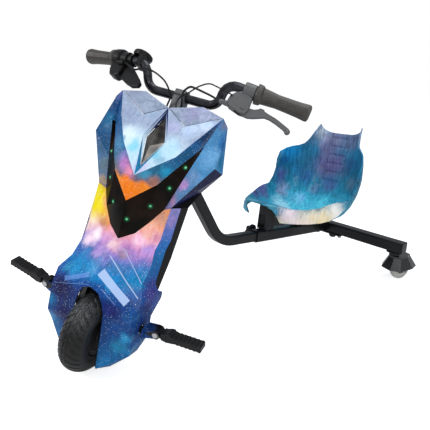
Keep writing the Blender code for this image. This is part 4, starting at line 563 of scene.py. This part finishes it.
# Light band, lamps and emblem.
# A smoked acrylic cover follows the mask's edge, with green lenses of a circuit strip set
# through it, and a faceted dark-chromed lozenge fills the recess above.

# the tips of the lenses, from the CAD strip: a turned lens ends in a point where its facets,
# all short, meet
LENS_FACETS = 16
LENS_RADIUS = 0.004
bm = bmesh.new()
bm.from_mesh(nodes["led_strip"].data)
bmesh.ops.remove_doubles(bm, verts=bm.verts, dist=WELD)
bm.normal_update()
LENS_TIPS = [vert.co.copy() for vert in bm.verts if len(vert.link_edges) == LENS_FACETS
             and max(edge.calc_length() for edge in vert.link_edges) < LENS_RADIUS
             and (STRAIGHTEN.to_3x3() @ vert.normal).y < 0]
bm.free()


def lamp_glow(tree, place, radius):
    """Light of the lamps in a surface: 1 at the tip of a lens, and none from `radius` on."""
    near = 0.0
    for tip in LENS_TIPS:
        local = add(tree, "Mapping", {"Vector": place.outputs["Object"], "Location": tip,
                                      "Scale": (radius,) * 3}, vector_type="TEXTURE")
        ball = add(tree, "TexGradient", {"Vector": local.outputs[0]}, gradient_type="SPHERICAL")
        near = add(tree, "Math", {0: ball.outputs["Fac"], 1: near}, operation="MAXIMUM").outputs[0]
    return near


def cloudy_tint(tree, place, size, detail, dark, light):
    """Colour that drifts over `size` metres between two tones, each given as (noise, colour)."""
    cloudy = add(tree, "TexNoise", {"Vector": place.outputs["Object"], "Scale": 1.0 / size,
                                    "Detail": detail})
    tint = add(tree, "ValToRGB", {"Fac": cloudy.outputs["Fac"]})
    for tone, (level, shade) in zip(tint.color_ramp.elements, (dark, light)):
        tone.position = level
        tone.color = srgb(shade)
    return tint


# almost black brown with a slow sheen, lit green round each lens
SMOKED, tree, out = new_finish("smoked acrylic")
place = add(tree, "TexCoord")
tint = cloudy_tint(tree, place, 0.060, 2.0, (0.42, "0B0906"), (0.66, "21150E"))
HALO_RADIUS = 0.008
HALO_STRENGTH = 0.22
halo = add(tree, "Math", {0: lamp_glow(tree, place, HALO_RADIUS), 1: HALO_STRENGTH}, operation="MULTIPLY")
gloss = add(tree, "BsdfPrincipled", {"Base Color": tint.outputs[0], "Roughness": 0.20, "IOR": 1.49,
                                     "Specular IOR Level": 0.08, "Emission Color": srgb("10C070"),
                                     "Emission Strength": halo.outputs[0]})
tree.links.new(gloss.outputs[0], out.inputs["Surface"])

# the cover is pressed into its seam, so no light shows round its rim
RIM_SEAT = 0.0006
BAND_EDGE = 0.0003
bm = solid_of("light_band")
bm.normal_update()
for vert in bm.verts:
    vert.co += vert.normal * RIM_SEAT
ease_edges(bm, BAND_EDGE)
piece_of("smoked_band", bm, (SMOKED,), "steering", ("light_band",), 24.0)

# glossy green with a white-green core where the lamp behind it burns
GREEN_LENS, tree, out = new_finish("green acrylic lens")
place = add(tree, "TexCoord")
CORE_RADIUS = 0.0034
core = add(tree, "Mix", {0: lamp_glow(tree, place, CORE_RADIUS), 6: srgb("0A6A38"), 7: srgb("A8FFD8")},
           data_type="RGBA")
lens = add(tree, "BsdfPrincipled", {"Base Color": srgb("0E7444"), "Roughness": 0.12, "IOR": 1.49,
                                    "Emission Color": core.outputs[2], "Emission Strength": 0.55})
tree.links.new(lens.outputs[0], out.inputs["Surface"])

# dark green lacquer over a mesh of paler tracks, 3 mm apart one way and 6 mm the other. It
# is seen only from inside the cowl.
CIRCUIT_BOARD, tree, out = new_finish("lacquered circuit board")
place = add(tree, "TexCoord")
tracks = add(tree, "TexBrick", {"Vector": place.outputs["Object"], "Color1": srgb("0B2415"),
                                "Color2": srgb("0D2C1A"), "Mortar": srgb("1C4A2C"),
                                "Scale": 1.0 / 0.012, "Mortar Size": 0.03})
board = add(tree, "BsdfPrincipled", {"Base Color": tracks.outputs["Color"], "Roughness": 0.35, "IOR": 1.52})
tree.links.new(board.outputs[0], out.inputs["Surface"])

# what lies further than this from every lens tip is the board
LENS_REACH = 0.0042
strip = carried("led_strip", GREEN_LENS)
strip.data.materials.append(CIRCUIT_BOARD)
for face in strip.data.polygons:
    if min((face.center - tip).length for tip in LENS_TIPS) > LENS_REACH:
        face.material_index = 1

# dark mirror with cloudy patches, so that each facet of the emblem has its own grey
CHROME_PLASTIC, tree, out = new_finish("smoked chrome plating")
tint = cloudy_tint(tree, add(tree, "TexCoord"), 0.024, 1.0, (0.36, "242220"), (0.66, "5A5650"))
plated = add(tree, "BsdfPrincipled", {"Base Color": tint.outputs[0], "Metallic": 0.45, "Roughness": 0.22})
tree.links.new(plated.outputs[0], out.inputs["Surface"])
carried("emblem_inlay", CHROME_PLASTIC)


# Front tyre and hub motor.
# A pneumatic road tyre with a swept block tread runs on a cast motor shell, which fills
# the wheel from bead to bead and turns with it.

# dull black, which catches soft light along the edges of the tread
RUBBER, tree, out = new_finish("black tyre rubber")
place = add(tree, "TexCoord")
scuff = add(tree, "TexNoise", {"Vector": place.outputs["Object"], "Scale": 1.0 / 0.012, "Detail": 5.0})
tint = add(tree, "Mix", {0: scuff.outputs["Fac"], 6: srgb("060606"), 7: srgb("131312")}, data_type="RGBA")
# a painted highlight on the top of the tread: pale grey flecks of 2 to 3 mm over a patch where the light
# falls
TOP_HIGHLIGHT_AT = (0.044, -0.034, 0.184)
TOP_HIGHLIGHT_RADIUS = 0.066
fleck = add(tree, "TexNoise", {"Vector": place.outputs["Object"], "Scale": 1.0 / 0.0028, "Detail": 5.0})
patch = add(tree, "Mapping", {"Vector": place.outputs["Object"], "Location": TOP_HIGHLIGHT_AT,
                              "Scale": (TOP_HIGHLIGHT_RADIUS,) * 3}, vector_type="TEXTURE")
ball = add(tree, "TexGradient", {"Vector": patch.outputs[0]}, gradient_type="SPHERICAL")
highlight_flecks = add(tree, "MapRange", {"Value": fleck.outputs["Fac"], "From Min": 0.40, "From Max": 0.62})
share = add(tree, "Math", {0: ball.outputs["Fac"], 1: highlight_flecks.outputs[0]}, operation="MULTIPLY")
tint = add(tree, "Mix", {0: share.outputs[0], 6: tint.outputs[2], 7: srgb("5E6363")}, data_type="RGBA")
fine = add(tree, "TexNoise", {"Vector": place.outputs["Object"], "Scale": 1.0 / 0.0010, "Detail": 2.0})
bump = add(tree, "Bump", {"Height": fine.outputs["Fac"], "Strength": 0.3, "Distance": 0.0002})
rubber = add(tree, "BsdfPrincipled", {"Base Color": tint.outputs[2], "Roughness": 0.42, "IOR": 1.52,
                                      "Specular IOR Level": 0.28, "Normal": bump.outputs[0]})
tree.links.new(rubber.outputs[0], out.inputs["Surface"])

TYRE_HALF = 0.032
RIM_RADIUS = 0.050
TUBE = 0.030
TREAD_EDGE = math.radians(74)
PITCHES = 32
GROOVE_DEPTH = 0.0030
# shares of the way from the middle line to the edge of the crown: the middle rib ends at a
# shallow groove round the wheel, and the swept grooves fade out before the edge
RIB_END = 0.10
RIB_GROOVE = 0.02
RIB_DEPTH = 0.55
GROOVE_END = 0.86
GROOVE_FADE = 0.06
# shares of a pitch: how far a groove sweeps back, half its floor, and the slope of its wall
SWEEP = 1.55
GROOVE_HALF = 0.085
GROOVE_WALL = 0.06


def tread_depth(turn, a):
    """Depth of the swept grooves at an angle round the wheel and across the crown."""
    across = a / TREAD_EDGE
    reach = abs(across)
    if reach > GROOVE_END:
        return 0.0
    shift = 0.5 if across > 0 else 0.0
    swept = turn * PITCHES / (2 * math.pi) + SWEEP * reach ** 1.25 + shift
    gap = abs(swept - round(swept))
    depth = 1.0 - min(max((gap - GROOVE_HALF) / GROOVE_WALL, 0.0), 1.0)
    if reach < RIB_END:
        depth = 0.0
    rib = 1.0 - min(max((abs(reach - RIB_END) - RIB_GROOVE) / RIB_GROOVE, 0.0), 1.0)
    fade = min(1.0, (GROOVE_END - reach) / GROOVE_FADE)
    return GROOVE_DEPTH * max(depth, RIB_DEPTH * rib) * fade


bm = bmesh.new()
STEPS_ROUND = 468
STEPS_ACROSS = 52
# angles across the crown, and down each side wall to where it meets the bead
crown = [-TREAD_EDGE + 2 * TREAD_EDGE * k / STEPS_ACROSS for k in range(STEPS_ACROSS + 1)]
wall = [math.radians(118 - 11 * k) for k in range(4)]
profile = [-a for a in wall] + crown + wall[::-1]
# the bead, as (radius, distance from the middle), from its inner edge to the side wall
bead = ((RIM_RADIUS + 0.0003, TYRE_HALF - 0.013), (RIM_RADIUS + 0.0035, TYRE_HALF - 0.0095))
rows = []
for i in range(STEPS_ROUND):
    turn = 2 * math.pi * i / STEPS_ROUND
    row = [(r, -h) for r, h in bead]
    for a in profile:
        radius = TYRE_RADIUS - TUBE + TUBE * math.cos(a) - tread_depth(turn, a)
        row.append((radius, TYRE_HALF * math.sin(a)))
    row += bead[::-1]
    rows.append([bm.verts.new((h, r * math.sin(turn), r * math.cos(turn))) for r, h in row])
for low, high in zip(rows, rows[1:] + rows[:1]):
    count = len(low)
    for j in range(count):
        bm.faces.new((low[j], low[(j + 1) % count], high[(j + 1) % count], high[j]))
piece_of("road_tyre", bm, (RUBBER,), "front_wheel", ("front_tyre",), 40.0,
         STEER @ Matrix.Translation((0, 0, TYRE_RADIUS)))


def hardware_finish(name, dark, light, metallic, rough, grain, bumps=0.1, shine=0.5):
    """Finish of a metal, coated or moulded piece. Its colour and roughness drift over
    `grain` metres, `bumps` is how strongly that grain stands out, and `shine` is the
    strength of its reflections where it isn't bare metal."""
    mat, tree, out = new_finish(name)
    place = add(tree, "TexCoord")
    cast = add(tree, "TexNoise", {"Vector": place.outputs["Object"], "Scale": 1.0 / grain, "Detail": 4.0})
    tint = add(tree, "Mix", {0: cast.outputs["Fac"], 6: srgb(dark), 7: srgb(light)}, data_type="RGBA")
    dull = add(tree, "MapRange", {"Value": cast.outputs["Fac"], "To Min": rough - 0.08,
                                  "To Max": rough + 0.08})
    bump = add(tree, "Bump", {"Height": cast.outputs["Fac"], "Strength": bumps, "Distance": 0.0003})
    body = add(tree, "BsdfPrincipled", {"Base Color": tint.outputs[2], "Metallic": metallic,
                                        "Specular IOR Level": shine, "Roughness": dull.outputs[0],
                                        "Normal": bump.outputs[0]})
    tree.links.new(body.outputs[0], out.inputs["Surface"])
    return mat


# a painted casting, a little less black than the tyre
HUB_ALLOY = hardware_finish("black-painted cast aluminium", "121213", "222224", 0.3, 0.45, 0.002)
# bare zinc, the brightest metal on the kart
ZINC = hardware_finish("zinc-plated steel", "A8A8AA", "CFCFD2", 1.0, 0.30, 0.004)

carried("hub_motor", HUB_ALLOY)
for node in ("axle", "axle_nut_left", "axle_nut_right"):
    carried(node, ZINC)


# Frame: fork, head tube, main tube, sleeve, rear beam and its saddle.
# Mild steel tube and plate, welded and powder coated in satin black, with zinc-plated
# bearings and bolts, and moulded plugs and knob.

# the coat's fine orange peel breaks its reflections into a satin sheen
POWDER_COAT = hardware_finish("satin black powder coat on steel", "070708", "141416", 0.0, 0.32, 0.0012,
                              0.40, 0.30)
for node in ("fork", "head_tube", "main_tube", "rear_sleeve", "rear_beam", "beam_saddle", "cowl_bracket",
             "seat_front_bracket", "seat_rear_bracket"):
    carried(node, POWDER_COAT)
for node in ("head_bearing_lower", "head_bearing_upper", "saddle_bolt_left", "saddle_bolt_right"):
    carried(node, ZINC)

# glass fibre leaves nylon dull black, with a 1 mm grain
GLASS_FILLED = hardware_finish("glass-filled black nylon", "070707", "121213", 0.0, 0.36, 0.0010, 0.4, 0.24)
for node in ("beam_plug_left", "beam_plug_right", "length_lock_knob"):
    carried(node, GLASS_FILLED)


# Foot pegs.
# A steel clevis on each flank of the lower cowl holds a moulded nylon peg that folds up.
# The foot of the clevis is printed with the cowl, and its zinc-plated pin is bare.

# with the wheel straight ahead, the foot lies on the cowl's flank, from a little inside it to
# a little outside, and the pin runs from front to back outside that, its middle behind the axle
FLANK = 0.119
FOOT_INSIDE = 0.004
FOOT_OUTSIDE = 0.017
PIN_OUT = 0.034
PIN_BACK = 0.024
PIN_HEIGHT = 0.153
# what shows of the pin is all within this radius, and past the cheeks of the clevis
PIN_RADIUS = 0.0075
CHEEK_HALF = 0.0132
for node in ("peg_bracket_left", "peg_bracket_right"):
    shown = carried(node, POWDER_COAT)
    shown.data.materials.append(BODY_PRINT)
    shown.data.materials.append(ZINC)
    for face in shown.data.polygons:
        spot = front_of(shown.matrix_world @ face.center)
        if FLANK - FOOT_INSIDE < abs(spot.x) < FLANK + FOOT_OUTSIDE:
            face.material_index = 1
        off_pin = math.hypot(abs(spot.x) - FLANK - PIN_OUT, spot.z - PIN_HEIGHT)
        if off_pin < PIN_RADIUS and abs(spot.y - PIN_BACK) > CHEEK_HALF:
            face.material_index = 2
for node in ("peg_left", "peg_right"):
    carried(node, GLASS_FILLED)


# Casters.
# A powder-coated mount at each end of the beam swivels a polished nylon shroud, in which
# a cast urethane wheel runs on a zinc-plated axle.

for node in ("caster_mount_left", "caster_mount_right"):
    carried(node, POWDER_COAT)
for node in ("caster_axle_left", "caster_axle_right"):
    carried(node, ZINC)
# a polished mould leaves broad, clear reflections
GLOSS_NYLON = hardware_finish("gloss black nylon", "121212", "262626", 0.0, 0.22, 0.004, 0.15, 0.6)
for node in ("caster_guard_left", "caster_guard_right"):
    carried(node, GLOSS_NYLON)
# urethane is pale and even, with a dull shine
URETHANE = hardware_finish("cast polyurethane", "B4B4AC", "D2D2CA", 0.0, 0.45, 0.006, 0.1)
for node in ("caster_wheel_left", "caster_wheel_right"):
    carried(node, URETHANE)


# Handlebar, stem and controls.
# A bent steel bar in a cast stem; rubber grips, a cast brake lever on the rider's left
# and a moulded thumb throttle with a round display on the right.

# paint over a casting's skin: even mid grey
CAST_GREY = hardware_finish("grey-painted die-cast aluminium", "4A4B4C", "686A6A", 0.35, 0.40, 0.0015, 0.25)
for node in ("stem", "stem_cap", "brake_perch", "brake_lever"):
    carried(node, CAST_GREY)
# black chrome over polished steel mirrors the room in soft dark greys
BAR_STEEL = hardware_finish("satin black chromed steel", "161618", "4E4E54", 0.80, 0.26, 0.020, 0.02)
carried("handlebar", BAR_STEEL)
for node in ("throttle_housing", "thumb_lever", "display_pod"):
    carried(node, GLASS_FILLED)
# the jackets of the cables have the same dull black look
for node in ("brake_cable", "brake_switch_wire", "throttle_cable"):
    carried(node, GLASS_FILLED)

# flat and almost black, with a mirror-sharp reflection
DISPLAY_GLASS, tree, out = new_finish("tempered display glass")
screen = add(tree, "BsdfPrincipled", {"Base Color": srgb("07090E"), "Roughness": 0.05, "IOR": 1.50})
tree.links.new(screen.outputs[0], out.inputs["Surface"])
carried("display_glass", DISPLAY_GLASS)

# warm dark grey, paler in patches of 15 mm
GRIP_RUBBER, tree, out = new_finish("moulded grip rubber")
place = add(tree, "TexCoord")
patchy = add(tree, "TexNoise", {"Vector": place.outputs["Object"], "Scale": 1.0 / 0.015, "Detail": 4.0})
tint = add(tree, "Mix", {0: patchy.outputs["Fac"], 6: srgb("1C1A18"), 7: srgb("45413A")}, data_type="RGBA")
rubber = add(tree, "BsdfPrincipled", {"Base Color": tint.outputs[2], "Roughness": 0.40, "IOR": 1.52})
tree.links.new(rubber.outputs[0], out.inputs["Surface"])
for node in ("grip_left", "grip_right"):
    carried(node, GRIP_RUBBER)


# Seat: a one-piece bucket, blow-moulded in polyethylene, printed and clear coated like
# the cowl. Its sides roll outward at the thighs, and a ladder of pads stands out on the
# middle of the backrest.

# cyan in the pan with a painted highlight across it, cream and pink along the thigh on the rider's left,
# violet haze on the back
SEAT_PRINT = nebula_print(
    "clear-coated moulded seat, blue nebula print",
    ((0.190, "50BCD6"), (0.225, "38A4C2"), (0.262, "2486A6"), (0.330, "206C90"), (0.400, "2878A0"),
     (0.480, "8094B0")),
    ((-0.150, 0.900, 0.385, 0.062, "1E90CC", 1.0), (-0.157, 0.857, 0.298, 0.044, "50649C", 1.0),
     (-0.156, 0.878, 0.352, 0.030, "1A5A90", 0.9), (-0.134, 0.914, 0.325, 0.034, "1C78A8", 0.9),
     (-0.100, 0.934, 0.295, 0.044, "2C6494", 1.0), (-0.130, 0.850, 0.250, 0.044, "8C98BC", 1.0),
     (-0.075, 0.985, 0.453, 0.040, "A8B8C8", 1.0), (-0.058, 0.985, 0.420, 0.030, "A4A8C8", 1.0),
     (-0.024, 0.993, 0.429, 0.066, "70769A", 1.0), (0.044, 0.994, 0.437, 0.060, "56688C", 1.0),
     (-0.019, 0.968, 0.342, 0.096, "5C5C8A", 1.0), (-0.040, 0.985, 0.392, 0.050, "666A94", 1.0),
     (0.004, 0.944, 0.276, 0.046, "44689C", 1.0),
     (0.061, 0.968, 0.355, 0.044, "245C88", 1.0), (0.095, 0.937, 0.295, 0.044, "54748C", 0.9),
     (0.074, 0.907, 0.224, 0.040, "44A4C4", 1.0), (-0.001, 0.899, 0.208, 0.044, "54C4DC", 1.0),
     # the pale cyan cloud at (-0.110, 0.808, 0.202) is a painted highlight across the front of the pan
     (-0.086, 0.893, 0.217, 0.036, "6CB4DC", 1.0), (-0.110, 0.808, 0.202, 0.056, "A0DCEC", 1.0),
     (-0.048, 0.930, 0.249, 0.034, "38709C", 0.9), (-0.145, 0.745, 0.268, 0.054, "5C6498", 1.0),
     (0.000, 0.780, 0.190, 0.090, "70CCE0", 1.0), (-0.130, 0.690, 0.272, 0.044, "50588C", 1.0),
     (0.095, 0.603, 0.253, 0.056, "F4E4EC", 1.0), (0.060, 0.610, 0.235, 0.044, "F4E8C8", 1.0),
     (0.135, 0.649, 0.240, 0.056, "F0E4C8", 1.0), (0.157, 0.745, 0.246, 0.064, "F8F8F2", 1.0),
     (0.152, 0.694, 0.240, 0.056, "F4E4BC", 1.0), (0.050, 0.570, 0.280, 0.034, "58ACC8", 1.0),
     (0.118, 0.626, 0.225, 0.046, "F8E8E0", 1.0), (-0.030, 0.565, 0.285, 0.040, "3A98B8", 1.0)),
    stars=0.25, swirl=0.016, upright=Matrix.Identity(4), streaks=0.38)

# the ladder of pads on the backrest: the foot of its first pad, and the sizes of its pads
PAD_LOW = 0.290
PAD_PITCH = 0.0290
PAD_COUNT = 6
PAD_HALF_WIDTH = 0.036
PAD_RAISE = 0.0038
PAD_GAP = 0.0006
PAD_ROUNDING = 0.0060
# the backrest is the part of the seat behind this, and it faces forward and a little up; its
# middle, where the pads are, is this wide each way and starts at this height
BACK_FRONT = 0.90
BACK_HALF = 0.055
BACK_FOOT = 0.26
BACK_FACES = Vector((0.0, -0.93, 0.36))


def ramp_up(value, start, end):
    """Rises smoothly from 0 to 1 between two values."""
    share = min(max((value - start) / (end - start), 0.0), 1.0)
    return share * share * (3.0 - 2.0 * share)


def pad_height(spot):
    """How far the backrest's ladder of pads stands out at a point."""
    rung = (spot.z - PAD_LOW) / PAD_PITCH
    if not 0.0 < rung < PAD_COUNT or spot.y < BACK_FRONT:
        return 0.0
    across = ramp_up(PAD_HALF_WIDTH - abs(spot.x), 0.0, PAD_ROUNDING)
    within = 0.5 - abs(rung % 1.0 - 0.5)
    return PAD_RAISE * across * ramp_up(within * PAD_PITCH, PAD_GAP, PAD_ROUNDING)


bm = bmesh.new()
bm.from_mesh(nodes["seat_shell"].data)
bmesh.ops.remove_doubles(bm, verts=bm.verts, dist=WELD)
bmesh.ops.join_triangles(bm, faces=bm.faces, angle_face_threshold=0.6, angle_shape_threshold=0.6)
# the middle of the backrest is cut finely enough for the pads to round off
back = []
for face in bm.faces:
    spot = face.calc_center_median()
    if abs(spot.x) < BACK_HALF and spot.z > BACK_FOOT and spot.y > BACK_FRONT:
        back.append(face)
bmesh.ops.subdivide_edges(bm, edges=list({e for f in back for e in f.edges}), cuts=9, use_grid_fill=True)
bmesh.ops.triangulate(bm, faces=[f for f in bm.faces if len(f.verts) > 4])
for vert in bm.verts:
    vert.co += BACK_FACES * pad_height(vert.co)
piece_of("bucket_seat", bm, (SEAT_PRINT,), "rear", ("seat_shell",), 60.0)
